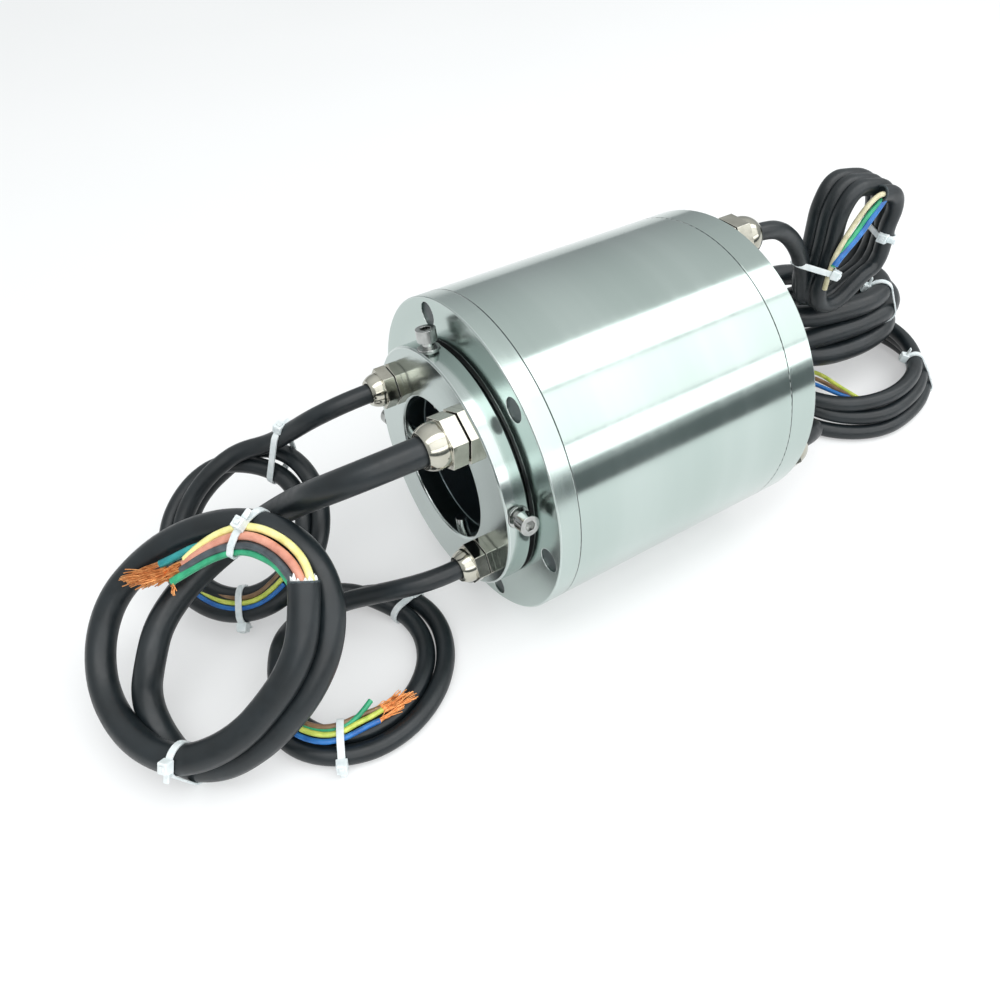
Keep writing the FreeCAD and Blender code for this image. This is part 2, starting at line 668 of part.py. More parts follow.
def make_clamp_screws():
    """Radial screws that clamp the shaft, each with a washer on the collar."""
    seat = "(collar_radius - clamp_seat_cut + washer_height + clamp_head_gap)"
    body = new_body("clamp_screws")
    place = ("-clamp_screw_set", "0")
    head_sketch = new_sketch(body, "XY_Plane", "Head", seat)
    draw_circle(head_sketch, place, "screw_head_radius")
    head = pad(body, head_sketch, "screw_head_height", "HeadPad")
    shank_sketch = new_sketch(body, "XY_Plane", "Shank", seat)
    draw_circle(shank_sketch, place, "screw_radius")
    shank = pad(body, shank_sketch, "clamp_screw_length", "ShankPad", forward=False)
    key = new_sketch(body, "XY_Plane", "Key", seat + " + screw_head_height")
    draw_outline(key, hexagon("socket_flats", place))
    socket = pocket(body, key, "socket_depth", "Socket", forward=False)
    repeat_round(body, [head, shank, socket], "clamp_screw_count")
    turn_to(body, "clamp_screw_angle")
    washers = new_body("clamp_washers")
    ring = new_sketch(washers, "XY_Plane", "Ring", "collar_radius - clamp_seat_cut")
    draw_circle(ring, place, "washer_radius")
    draw_circle(ring, place, "screw_radius")
    washer = pad(washers, ring, "washer_height", "RingPad")
    repeat_round(washers, [washer], "clamp_screw_count")
    turn_to(washers, "clamp_screw_angle")


def make_sleeve():
    """Sleeve that carries the contact rings and holds the shaft."""
    body = new_body("rotor_sleeve")
    turn_profile(body, [
        ("-collar_gap", "bore_radius"), ("-collar_gap", "sleeve_spigot_radius"),
        (HUB_REAR, "sleeve_spigot_radius"), (HUB_REAR, "sleeve_radius"),
        (SLEEVE_REAR + " - edge_chamfer", "sleeve_radius"),
        (SLEEVE_REAR, "sleeve_radius - edge_chamfer"), (SLEEVE_REAR, "bore_radius"),
    ])


def ring_start(number):
    """Where contact ring number starts along the bore, counted from 0."""
    power = min(number, POWER_RINGS)
    signal = number - power
    return "(%s + %d * barrier_width + %d * power_ring_width + %d * signal_ring_width)" % (
        STACK_FRONT, number + 1, power, signal)


def ring_width(number):
    """Width of contact ring number."""
    return "power_ring_width" if number < POWER_RINGS else "signal_ring_width"


STACK_REAR = "(%s + ring_stack)" % STACK_FRONT


def make_contact_rings():
    """Moulded insulator with its barriers, and the contact rings between them."""
    insulator = new_body("ring_insulator")
    corners = [(INSULATOR_FRONT, "sleeve_radius"), (INSULATOR_FRONT, "insulator_collar_radius"),
               (STACK_FRONT, "insulator_collar_radius"), (STACK_FRONT, "barrier_radius")]
    for number in range(RING_COUNT):
        start = ring_start(number)
        end = "(%s + %s)" % (start, ring_width(number))
        corners += [(start, "barrier_radius"), (start, "ring_inner"), (end, "ring_inner"),
                    (end, "barrier_radius")]
        ring = new_body("contact_ring_%02d" % (number + 1))
        turn_profile(ring, rectangle(start, end, "ring_inner", "ring_outer"))
    rear = "(%s + insulator_rear_margin)" % STACK_REAR
    corners += [(STACK_REAR, "barrier_radius"), (STACK_REAR, "insulator_collar_radius"),
                (rear, "insulator_collar_radius"), (rear, "sleeve_radius")]
    turn_profile(insulator, corners)


def brush_slots(breadth, play="0"):
    """For each contact ring, the outline of its brush seen from outside the drum."""
    slots = []
    for number in range(RING_COUNT):
        centre = "(%s + %s / 2)" % (ring_start(number), ring_width(number))
        width = "power_brush_width" if number < POWER_RINGS else "signal_brush_width"
        half = "(%s / 2 + %s)" % (width, play)
        slots.append((centre, half, "(%s / 2 + %s)" % (breadth, play)))
    return slots


def make_brush_bars():
    """Two insulating bars against the drum's inside wall, slotted for the brushes."""
    body = new_body("brush_bars")
    section = new_sketch(body, "YZ_Plane", "Section", BAR_FRONT)
    side_top = "sqrt(cavity_radius ^ 2 - (bar_width / 2) ^ 2)"
    draw_outline(section, [
        ("-bar_width / 2", "bar_face"), ("bar_width / 2", "bar_face"), ("bar_width / 2", side_top),
        ("-bar_width / 2", side_top, "-cavity_radius"),
    ])
    bar = pad(body, section, "%s - %s" % (BAR_REAR, BAR_FRONT), "BarPad")
    slots = new_sketch(body, "XY_Plane", "Slots", "bar_face")
    for centre, half, reach in brush_slots("brush_breadth", "brush_play"):
        draw_outline(slots, rectangle(centre + " - " + half, centre + " + " + half, "-" + reach, reach))
    cut = pocket(body, slots, "brush_slot_depth", "SlotCut")
    heads = new_sketch(body, "XY_Plane", "HeadCircles", "bar_face")
    shanks = new_sketch(body, "XY_Plane", "ShankCircles", "bar_face")
    for place in BAR_SCREW_PLACES:
        draw_circle(heads, place, "bar_head_radius")
        draw_circle(shanks, place, "bar_screw_radius")
    sink = pocket(body, heads, "bar_head_height", "HeadCut")
    holes = pocket(body, shanks, "2 * bar_thickness", "ShankCut")
    repeat_round(body, [bar, cut, sink, holes], "2")
    turn_to(body, "bar_angle")


def make_brushes():
    """Carbon brushes with faces curved to the rings, and the leaf springs behind them."""
    body = new_body("brushes")
    base = "(ring_outer - brush_stock)"
    blocks = new_sketch(body, "XY_Plane", "Blocks", base)
    for centre, half, reach in brush_slots("brush_breadth"):
        draw_outline(blocks, rectangle(centre + " - " + half, centre + " + " + half, "-" + reach, reach))
    block_pad = pad(body, blocks, "brush_back - " + base, "BlockPad")
    face = new_sketch(body, "XZ_Plane", "Face")
    draw_outline(face, rectangle(STACK_FRONT, STACK_REAR, "ring_inner - brush_stock", "ring_outer + brush_play"))
    curve = cut_round(body, face, "FaceCut")
    repeat_round(body, [block_pad, curve], "2")
    turn_to(body, "bar_angle")
    springs = new_body("brush_springs")
    leaves = new_sketch(springs, "XZ_Plane", "Leaves")
    for centre, half, reach in brush_slots("brush_breadth"):
        foot = "(%s - spring_leaf / 2)" % half
        tip = "spring_leaf / 2"
        low, high = "brush_back", "brush_slot_top"
        draw_outline(leaves, [
            ("%s - %s" % (centre, foot), low), ("%s - %s" % (centre, tip), high),
            ("%s + %s" % (centre, tip), high), ("%s + %s" % (centre, foot), low),
            ("%s + %s - 1.5 * spring_leaf" % (centre, foot), low), (centre, high + " - 3 * spring_leaf"),
            ("%s - %s + 1.5 * spring_leaf" % (centre, foot), low),
        ])
    leaf = springs.newObject("PartDesign::Pad", "LeafPad")
    leaf.Profile = leaves
    leaf.SideType = "Symmetric"
    leaf.setExpression("Length", named("spring_breadth"))
    springs.Tip = leaf
    doc.recompute()
    repeat_round(springs, [leaf], "2")
    turn_to(springs, "bar_angle")


def make_gland(label, family, thread_radius, thread_depth, cable_radius, seat_x, pitch, angle, rear):
    """A cable gland in two pieces: the body screwed into its flange and the cap nut on it."""
    hex_flats, hex_height = family + "_hex_flats", family + "_hex_height"
    nut_flats, inner = family + "_nut_flats", family + "_nut_thread_radius"
    bore, seat = family + "_body_bore", family + "_seat"
    neck = "(%s + %s_neck_gap)" % (hex_height, family)
    crown = "(%s + %s_nut_height)" % (neck, family)
    mouth = "(%s + %s_crown_height)" % (crown, family)
    across, up = round_place(pitch, angle)
    body = new_body(label + "_body")
    hex_radius = "%s / 2 - gland_hex_relief" % hex_flats
    turn_profile(body, [
        ("-(%s)" % thread_depth, bore), ("-(%s)" % thread_depth, thread_radius),
        ("0", thread_radius), ("0", hex_radius), (hex_height, hex_radius), (hex_height, inner),
        (seat, inner), (seat, bore),
    ])
    plate = new_sketch(body, "YZ_Plane", "Hexagon")
    draw_outline(plate, hexagon(hex_flats))
    draw_circle(plate, ("0", "0"), inner)
    pad(body, plate, hex_height, "HexagonPad")
    nut = new_body(label + "_nut")
    opening = "%s + %s_mouth_play" % (cable_radius, family)
    nut_radius = "%s / 2 - gland_nut_relief" % nut_flats
    turn_profile(nut, [
        (neck, inner), (neck, nut_radius), (crown, nut_radius),
        (crown, "%s / 2 - %s_crown_step" % (nut_flats, family)),
        (mouth, family + "_mouth_radius", family + "_crown_round"), (mouth, opening),
        (seat, opening), (seat, inner),
    ])
    side = new_sketch(nut, "YZ_Plane", "Hexagon", neck)
    draw_outline(side, hexagon(nut_flats))
    draw_circle(side, ("0", "0"), inner)
    pad(nut, side, family + "_nut_height", "HexagonPad")
    for piece in (body, nut):
        way = FreeCAD.Rotation(FreeCAD.Vector(0, 0, 1), 0 if rear else 180)
        lean = FreeCAD.Rotation(FreeCAD.Vector(1, 0, 0), -value(angle))
        piece.Placement = FreeCAD.Placement(FreeCAD.Vector(), lean.multiply(way))
        piece.setExpression(".Placement.Base.x", named(seat_x))
        piece.setExpression(".Placement.Base.y", named(across))
        piece.setExpression(".Placement.Base.z", named(up))


def rounded_path(points):
    """Straight runs joined by tangent arcs, each as large as its two runs allow."""
    edges = []
    radii = []
    at = points[0]
    for before, corner, after in zip(points, points[1:], points[2:]):
        back = (before - corner).normalize()
        ahead = (after - corner).normalize()
        turn = math.pi - back.getAngle(ahead)
        reach = 0.45 * min(before.distanceToPoint(corner), after.distanceToPoint(corner))
        radius = reach / math.tan(turn / 2)
        radii.append(radius)
        start = corner + back * reach
        end = corner + ahead * reach
        inward = (back + ahead).normalize()
        middle = corner + inward * (radius / math.cos(turn / 2) - radius)
        edges.append(Part.LineSegment(at, start).toShape())
        edges.append(Part.Arc(start, middle, end).toShape())
        at = end
    edges.append(Part.LineSegment(at, points[-1]).toShape())
    return Part.Wire(edges), radii


def add_solid(label, shape):
    """Keep a shape as one node of the part."""
    item = doc.addObject("Part::Feature", label)
    item.Label = label
    item.Shape = shape
    item.Placement = FreeCAD.Placement()
    kept.append(item)


def make_tube(label, radius, start, run, route):
    """The free stretch of a cable from the seat in its gland to its coil."""
    points = [start, start + FreeCAD.Vector(run, 0, 0)] + [FreeCAD.Vector(*place) for place in route]
    path, radii = rounded_path(points)
    heading = points[1] - points[0]
    section = Part.Wire([Part.Circle(start, heading, radius).toShape()])
    tube = Part.Wire(path).makePipeShell([section], True, False)
    add_solid(label, tube)
    expected = math.pi * radius * radius * path.Length
    print("%s length %.1f volume ratio %.4f radii in diameters %s" % (
        label, path.Length, tube.Volume / expected,
        " ".join("%.1f" % (bend / 2 / radius) for bend in radii)))


def capsule(first, second, radius):
    """The outline of strands side by side, from the first strand's centre to the last one's."""
    along = FreeCAD.Vector(second[0] - first[0], second[1] - first[1], 0).normalize()
    side = FreeCAD.Vector(-along.y, along.x, 0)
    corners = []
    for place, sign in ((first, 1), (second, 1), (second, -1), (first, -1)):
        corners.append((place[0] + sign * side.x * radius, place[1] + sign * side.y * radius))
    corners[2] += (radius * 1.0001,)
    corners[0] += (radius * 1.0001,)
    return corners


def make_round_coil(label, first, second, radius, centre, normal):
    """A round coil as one closed ring; strand places are height along its axis and radius."""
    body = new_body(label)
    turn_profile(body, capsule(first, second, value(radius)), "Strands")
    lean = FreeCAD.Rotation(FreeCAD.Vector(1, 0, 0), FreeCAD.Vector(*normal))
    body.Placement = FreeCAD.Placement(FreeCAD.Vector(*centre), lean)


def make_long_coil(label, corners, bend, half_width, radius, start_place, across, up):
    """A coil that follows a rounded polygon, as one closed band of strands side by side."""
    across_way = FreeCAD.Vector(*across)
    up_way = FreeCAD.Vector(*up)
    flat = across_way.cross(up_way)
    origin = FreeCAD.Vector(*start_place)
    places = [origin + across_way * corner[0] + up_way * corner[1] for corner in corners]
    count = len(places)
    cuts = []
    for number, corner in enumerate(places):
        back = (places[number - 1] - corner).normalize()
        ahead = (places[(number + 1) % count] - corner).normalize()
        turn = math.pi - back.getAngle(ahead)
        reach = bend * math.tan(turn / 2)
        inward = (back + ahead).normalize()
        middle = corner + inward * (bend / math.cos(turn / 2) - bend)
        cuts.append((corner + back * reach, middle, corner + ahead * reach))
    edges = []
    for number, (start, middle, end) in enumerate(cuts):
        edges.append(Part.Arc(start, middle, end).toShape())
        edges.append(Part.LineSegment(end, cuts[(number + 1) % count][0]).toShape())
    path = Part.Wire(edges)
    start = cuts[0][0]
    heading = (start - cuts[-1][2]).normalize()
    side = heading.cross(flat).normalize() * radius
    wide = flat * half_width
    round_out = flat * (half_width + radius)
    section = Part.Wire([
        Part.LineSegment(start + side - wide, start + side + wide).toShape(),
        Part.Arc(start + side + wide, start + round_out, start - side + wide).toShape(),
        Part.LineSegment(start - side + wide, start - side - wide).toShape(),
        Part.Arc(start - side - wide, start - round_out, start + side - wide).toShape(),
    ])
    add_solid(label, path.makePipeShell([section], True, False))


def make_bar_screws():
    """Screws that hold the brush bars to the drum wall, with their heads sunk in the bars."""
    body = new_body("brush_bar_screws")
    head_top = "(bar_face + bar_head_height)"
    heads = new_sketch(body, "XY_Plane", "Heads", head_top)
    shanks = new_sketch(body, "XY_Plane", "Shanks", head_top)
    for place in BAR_SCREW_PLACES:
        draw_circle(heads, place, "bar_head_radius")
        draw_circle(shanks, place, "bar_screw_radius")
    head = pad(body, heads, "bar_head_height - bar_head_sink", "HeadPad", forward=False)
    shank = pad(body, shanks, "cavity_radius + bar_screw_grip - " + head_top, "ShankPad")
    repeat_round(body, [head, shank], "2")
    turn_to(body, "bar_angle")


def gland_seat(angle, pitch, seat_x):
    """The middle of the seat in a gland, where its cable starts."""
    across, up = round_place(pitch, angle)
    return FreeCAD.Vector(value(seat_x), value(across), value(up))


make_front_flange()
make_housing_tube()
make_rear_flange()
make_socket_screws("front_flange_screws", "front_well_depth", "low_head_height", "screw_grip",
                   "front_screw_angle", toward_rear=True)
make_screw_plugs()
make_socket_screws("rear_flange_screws", DRUM_REAR + " - screw_head_height", "screw_head_height",
                   "screw_grip + screw_head_height", "rear_screw_angle", toward_rear=False)
make_front_bearing()
make_rear_bearing()
make_seals()
make_collar()
make_clamp_screws()
make_sleeve()
make_contact_rings()
make_brush_bars()
make_bar_screws()
make_brushes()

FRONT_GLANDS = (
    ("front_gland_1", "large", "large_thread_radius", "large_cable_radius", "first_gland_angle"),
    ("front_gland_2", "small", "small_thread_radius", "small_cable_radius", "second_gland_angle"),
    ("front_gland_3", "small", "small_thread_radius", "small_cable_radius", "third_gland_angle"),
)
REAR_GLANDS = (
    ("rear_gland_1", "small_cable_radius", "fourth_gland_angle"),
    ("rear_gland_2", "large_cable_radius", "fifth_gland_angle"),
    ("rear_gland_3", "small_cable_radius", "sixth_gland_angle"),
)
seats = []
for label, family, thread, cable, angle in FRONT_GLANDS:
    make_gland(label, family, thread, "front_thread_depth", cable, "-collar_front",
               "front_gland_pitch", angle, rear=False)
    seats.append(gland_seat(angle, "front_gland_pitch", "-collar_front - %s_seat" % family))
for label, cable, angle in REAR_GLANDS:
    make_gland(label, "rear", "large_thread_radius", "rear_flange_depth - core_channel_depth",
               cable, DRUM_REAR, "rear_gland_pitch", angle, rear=True)
    seats.append(gland_seat(angle, "rear_gland_pitch", DRUM_REAR + " + rear_seat"))

large = value("large_cable_radius")
small = value("small_cable_radius")
TUBES = (
    (large, -FIRST_RUN, FIRST_ROUTE), (small, -SECOND_RUN, SECOND_ROUTE),
    (small, -THIRD_RUN, THIRD_ROUTE), (small, FOURTH_RUN, FOURTH_ROUTE),
    (large, FIFTH_RUN, FIFTH_ROUTE), (small, SIXTH_RUN, SIXTH_ROUTE),
)
for number, (seat, (radius, run, route)) in enumerate(zip(seats, TUBES), start=1):
    make_tube("cable_%d_tube" % number, radius, seat, run, route)

make_round_coil("cable_1_coil", (0.0, 47.6), (0.0, 64.0), "large_cable_radius",
                (-150.0, -14.1, -31.6), (-0.589, -0.313, 0.743))
make_round_coil("cable_2_coil", (0.0, 35.0), (0.0, 44.6), "small_cable_radius",
                (-108.5, 56.8, -43.5), (-0.479, -0.402, 0.781))
make_round_coil("cable_3_coil", (0.0, 43.6), (0.0, 53.6), "small_cable_radius",
                (-92.8, -26.3, -80.0), (0.0, 0.0, 1.0))
make_long_coil("cable_4_coil", [(0.0, 0.0), (12.0, 82.0), (50.0, 72.0), (63.0, 0.0)], 13.0,
               2 * small, small, (255.0, 12.0, -5.8), (1.0, 0.0, 0.0), (0.0, 0.0, 1.0))
make_long_coil("cable_5_coil", [(0.0, 0.0), (111.5, 0.0), (111.5, 61.5), (0.0, 61.5)], 30.0,
               2 * large, large, (253.25, 4.25, -32.9), (1.0, 0.0, 0.0), (0.0, 1.0, 0.0))
make_round_coil("cable_6_coil", (0.0, 72.0), (20.0, 55.0), "small_cable_radius",
                (310.0, 15.0, -80.0), (0.0, 0.0, 1.0))

doc.recompute()
for item in doc.Objects:
    if "Invalid" in item.State or "Error" in item.State:
        holder = ", ".join(user.Label for user in item.InListRecursive)
        raise RuntimeError("%s in %s did not build: %s" % (item.Label, holder, item.getStatusString()))
os.makedirs("parts", exist_ok=True)
for item in kept:
    if item.Shape.isNull() or not item.Shape.isValid() or not item.Shape.Solids:
        raise RuntimeError("%s has no sound shape" % item.Label)
    item.Shape.exportStep(os.path.join("parts", item.Label + ".step"))
    box = item.Shape.BoundBox
    print("%s solids %d volume %.1f x %.1f..%.1f y %.1f..%.1f z %.1f..%.1f" % (
        item.Label, len(item.Shape.Solids), item.Shape.Volume,
        box.XMin, box.XMax, box.YMin, box.YMax, box.ZMin, box.ZMax))
print("nodes %d" % len(kept))
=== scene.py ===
"""Through-bore slip ring with its six tied cable coils, in the CAD frame, in metres.

The CAD nodes carry the machined metal. This file lays the cables as smooth splines where
their CAD solids are, adds the stripped cores, copper, cable ties and black rings of painted
shade in the gland necks, and gives every surface its finish, its light and its floor.
"""
from __future__ import annotations

import logging
import math
import random
from dataclasses import dataclass, replace
from enum import Enum

import bmesh
import bpy
from mathutils import Matrix, Vector

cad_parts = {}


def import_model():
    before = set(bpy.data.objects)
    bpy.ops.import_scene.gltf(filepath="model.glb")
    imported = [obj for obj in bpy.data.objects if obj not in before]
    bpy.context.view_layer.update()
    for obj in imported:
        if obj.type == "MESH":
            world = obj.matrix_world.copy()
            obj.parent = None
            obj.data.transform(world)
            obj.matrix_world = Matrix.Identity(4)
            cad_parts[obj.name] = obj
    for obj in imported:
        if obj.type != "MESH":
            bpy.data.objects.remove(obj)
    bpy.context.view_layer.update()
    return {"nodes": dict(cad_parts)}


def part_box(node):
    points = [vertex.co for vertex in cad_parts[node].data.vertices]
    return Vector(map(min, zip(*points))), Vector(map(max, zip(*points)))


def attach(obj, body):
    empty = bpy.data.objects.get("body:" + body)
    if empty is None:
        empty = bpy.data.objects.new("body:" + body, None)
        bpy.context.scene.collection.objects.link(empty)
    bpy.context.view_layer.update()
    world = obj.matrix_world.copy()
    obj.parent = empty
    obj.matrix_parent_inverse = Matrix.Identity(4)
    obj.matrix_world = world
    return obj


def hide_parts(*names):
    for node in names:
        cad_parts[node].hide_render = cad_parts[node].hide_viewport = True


log = logging.getLogger("slip_ring")

MM = 0.001
Point = tuple[float, float, float]
Colour = tuple[float, float, float]
Turn = tuple[float, float, float]
Strand = tuple[list[Vector], float]
Socket = bpy.types.NodeSocket
FLOOR_Z = -85.0
FLOOR_GAP = 0.05


def tone(red: int, green: int, blue: int) -> Colour:
    """Turn a screen colour into the linear one that a shader takes.

    Args:
        red: Screen red, 0 to 255.
        green: Screen green, 0 to 255.
        blue: Screen blue, 0 to 255.

    Returns:
        The linear colour.
    """
    parts = [value / 255 for value in (red, green, blue)]
    return tuple(p / 12.92 if p <= 0.04045 else ((p + 0.055) / 1.055) ** 2.4 for p in parts)


def metres(points: tuple[Point, ...]) -> list[Vector]:
    """Return points given in millimetres as vectors in metres."""
    return [Vector(p) * MM for p in points]


# Finishes


class Marks(Enum):
    """The marks that making or use leaves on a surface."""

    TURNED = "turned"
    CAST = "cast"


@dataclass(frozen=True)
class Finish:
    """A surface: its tones, its gloss and the marks on it. Scales are counts per metre."""

    name: str
    dark: Colour
    light: Colour
    rough_low: float
    rough_high: float
    metallic: float = 0.0
    marks: Marks = Marks.CAST
    patch_scale: float = 28.0
    grain_scale: float = 1400.0
    grain_height: float = 0.00002
    # Colour of rounded edges and its share: partly real wear, partly a painted highlight along the
    # edges.
    wear_and_highlight: Colour | None = None
    wear_and_highlight_share: float = 0.5
    edge: float = 0.0
    joints: tuple[float, ...] = ()
    joint_half: float = 0.00045
    anisotropic: float = 0.0
    coat: float = 0.0
    scatter: float = 0.0
    passing: float = 0.0


# How every finish reads its textures: octaves of noise, shares, and how far the rounded
# normal of an edge agrees with the true one where the edge is lightened, partly as wear and
# partly as a painted highlight.
PATCH_DETAIL = 3.0
TURNED_DETAIL = 3.0
FINE_DETAIL = 4.0
GLOSS_PER_PATCH = 4
GRAIN_TINT = 0.3
EDGE_SAMPLES = 6
EDGE_AGREES = (0.88, 0.995)
SCATTER_DEPTH = 0.002
# Painted shade: the dark colour laid along the joint lines, standing in for the shade in the seams.
SEAM_SHADE = tone(58, 64, 66)
JOINT_DEPTH = 0.00022
JOINT_EDGE = (0.45, 0.8)


class Painter:
    """Builds the node material of one finish."""

    def __init__(self, finish: Finish) -> None:
        """Start an empty material for the finish.

        Args:
            finish: The surface to make.
        """
        self.finish = finish
        self.material = bpy.data.materials.new(finish.name)
        self.material.use_nodes = True
        self.tree = self.material.node_tree
        self.shader = self.tree.nodes["Principled BSDF"]
        self.place = self.add("ShaderNodeTexCoord").outputs["Object"]

    def add(self, kind: str, **settings: object) -> bpy.types.Node:
        """Add a node.

        Args:
            kind: The node's type name.
            settings: Properties of the node itself.

        Returns:
            The new node.
        """
        node = self.tree.nodes.new(kind)
        for name, value in settings.items():
            setattr(node, name, value)
        return node

    def join(self, source: Socket, target: Socket) -> None:
        """Link one socket to another."""
        self.tree.links.new(source, target)

    def noise(self, vector: Socket, scale: float, detail: float) -> Socket:
        """Add a noise texture.

        Args:
            vector: Where the texture is read.
            scale: Features per unit of that vector.
            detail: Octaves of finer noise.

        Returns:
            The socket of the noise value.
        """
        node = self.add("ShaderNodeTexNoise")
        node.inputs["Scale"].default_value = scale
        node.inputs["Detail"].default_value = detail
        self.join(vector, node.inputs["Vector"])
        return node.outputs["Fac"]

    def ranged(self, value: Socket, low: float, high: float,
               from_low: float = 0.3, from_high: float = 0.7) -> Socket:
        """Stretch a value over a range.

        Args:
            value: The value to stretch.
            low: What the low end becomes.
            high: What the high end becomes.
            from_low: The low end.
            from_high: The high end.

        Returns:
            The stretched value.
        """
        node = self.add("ShaderNodeMapRange")
        for name, number in (("From Min", from_low), ("From Max", from_high),
                             ("To Min", low), ("To Max", high)):
            node.inputs[name].default_value = number
        self.join(value, node.inputs["Value"])
        return node.outputs["Result"]

    def blend(self, share: Socket, first: object, second: object) -> Socket:
        """Mix two colours, each a colour or a socket.

        Args:
            share: How much of the second there is.
            first: The first colour.
            second: The second colour.

        Returns:
            The mixed colour.
        """
        node = self.add("ShaderNodeMix", data_type="RGBA")
        self.join(share, node.inputs[0])
        for socket, colour in ((node.inputs[6], first), (node.inputs[7], second)):
            if isinstance(colour, tuple):
                socket.default_value = (*colour, 1.0)
            else:
                self.join(colour, socket)
        return node.outputs[2]

    def groove_place(self) -> Socket:
        """Make a vector that only changes along the drum's axis and away from it.

        Returns:
            The vector's socket.
        """
        split = self.add("ShaderNodeSeparateXYZ")
        self.join(self.place, split.inputs[0])
        across = self.add("ShaderNodeCombineXYZ")
        self.join(split.outputs["Y"], across.inputs["Y"])
        self.join(split.outputs["Z"], across.inputs["Z"])
        radius = self.add("ShaderNodeVectorMath", operation="LENGTH")
        self.join(across.outputs[0], radius.inputs[0])
        both = self.add("ShaderNodeCombineXYZ")
        self.join(split.outputs["X"], both.inputs["X"])
        self.join(radius.outputs["Value"], both.inputs["Y"])
        return both.outputs[0]

    def grain(self) -> Socket:
        """Make the fine height pattern of the finish's marks.

        Returns:
            The socket of the height.
        """
        if self.finish.marks is Marks.TURNED:
            return self.noise(self.groove_place(), self.finish.grain_scale, TURNED_DETAIL)
        return self.noise(self.place, self.finish.grain_scale, FINE_DETAIL)

    def joint_mask(self) -> Socket:
        """Work out how close a point is to one of the finish's joint lines.

        Returns:
            The socket of the closeness, which is 1 on a line.
        """
        split = self.add("ShaderNodeSeparateXYZ")
        self.join(self.place, split.inputs[0])
        total = None
        for x in self.finish.joints:
            gap = self.add("ShaderNodeMath", operation="SUBTRACT")
            self.join(split.outputs["X"], gap.inputs[0])
            gap.inputs[1].default_value = x
            size = self.add("ShaderNodeMath", operation="ABSOLUTE")
            self.join(gap.outputs[0], size.inputs[0])
            near = self.ranged(size.outputs[0], 1.0, 0.0, 0.0, self.finish.joint_half)
            if total is None:
                total = near
            else:
                both = self.add("ShaderNodeMath", operation="MAXIMUM")
                self.join(total, both.inputs[0])
                self.join(near, both.inputs[1])
                total = both.outputs[0]
        return total

    def wear_and_highlight_edges(self, colour: Socket) -> tuple[Socket, Socket]:
        """Round the edges in the light and lighten their colour, partly as wear and partly as a
        painted highlight.

        Args:
            colour: The colour so far.

        Returns:
            The colour with its edges lightened as wear and painted highlight, and the rounded normal.
        """
        rounded = self.add("ShaderNodeBevel", samples=EDGE_SAMPLES)
        rounded.inputs["Radius"].default_value = self.finish.edge
        shape = self.add("ShaderNodeNewGeometry")
        agree = self.add("ShaderNodeVectorMath", operation="DOT_PRODUCT")
        self.join(rounded.outputs["Normal"], agree.inputs[0])
        self.join(shape.outputs["Normal"], agree.inputs[1])
        mask = self.ranged(agree.outputs["Value"], self.finish.wear_and_highlight_share, 0.0, *EDGE_AGREES)
        # Painted highlight: the rounded edges take the lighter edge colour, partly real wear and
        # partly the bright lines of light along them.
        wear_and_highlight = self.blend(mask, colour, self.finish.wear_and_highlight or self.finish.light)
        return wear_and_highlight, rounded.outputs["Normal"]

    def build(self) -> bpy.types.Material:
        """Wire the finish's nodes.

        Returns:
            The material.
        """
        finish, inputs = self.finish, self.shader.inputs
        turned = finish.marks is Marks.TURNED
        where = self.groove_place() if turned else self.place
        patch = self.noise(where, finish.patch_scale, PATCH_DETAIL)
        grain = self.grain()
        colour = self.blend(self.ranged(patch, 0.0, 1.0), finish.dark, finish.light)
        colour = self.blend(self.ranged(grain, 0.0, GRAIN_TINT), colour, finish.light)
        normal = None
        if finish.edge > 0:
            colour, normal = self.wear_and_highlight_edges(colour)
        gloss = self.noise(where, finish.patch_scale * GLOSS_PER_PATCH, FINE_DETAIL)
        self.join(self.ranged(gloss, finish.rough_low, finish.rough_high), inputs["Roughness"])
        bump = self.add("ShaderNodeBump")
        bump.inputs["Distance"].default_value = finish.grain_height
        bump.inputs["Strength"].default_value = 1.0
        self.join(grain, bump.inputs["Height"])
        if normal is not None:
            self.join(normal, bump.inputs["Normal"])
        normal = bump.outputs["Normal"]
        if finish.joints:
            mask = self.joint_mask()
            # Painted shade: darken the colour along the joint lines where the seams fall into shade;
            # the inverted bump below sinks the groove.
            dark = self.ranged(mask, 0.0, 1.0, *JOINT_EDGE)
            colour = self.blend(dark, colour, SEAM_SHADE)
            groove = self.add("ShaderNodeBump", invert=True)
            groove.inputs["Distance"].default_value = JOINT_DEPTH
            self.join(mask, groove.inputs["Height"])
            self.join(normal, groove.inputs["Normal"])
            normal = groove.outputs["Normal"]
        self.join(colour, inputs["Base Color"])
        self.join(normal, inputs["Normal"])
        inputs["Metallic"].default_value = finish.metallic
        inputs["Coat Weight"].default_value = finish.coat
        inputs["Transmission Weight"].default_value = finish.passing
        inputs["Subsurface Weight"].default_value = finish.scatter
        inputs["Subsurface Radius"].default_value = (SCATTER_DEPTH,) * 3
        inputs["Subsurface Scale"].default_value = 1.0
        inputs["Anisotropic"].default_value = finish.anisotropic
        if finish.anisotropic > 0:
            around = self.add("ShaderNodeTangent", direction_type="RADIAL", axis="X")
            self.join(around.outputs[0], inputs["Tangent"])
        return self.material


JOINT_NODE = "housing_tube"
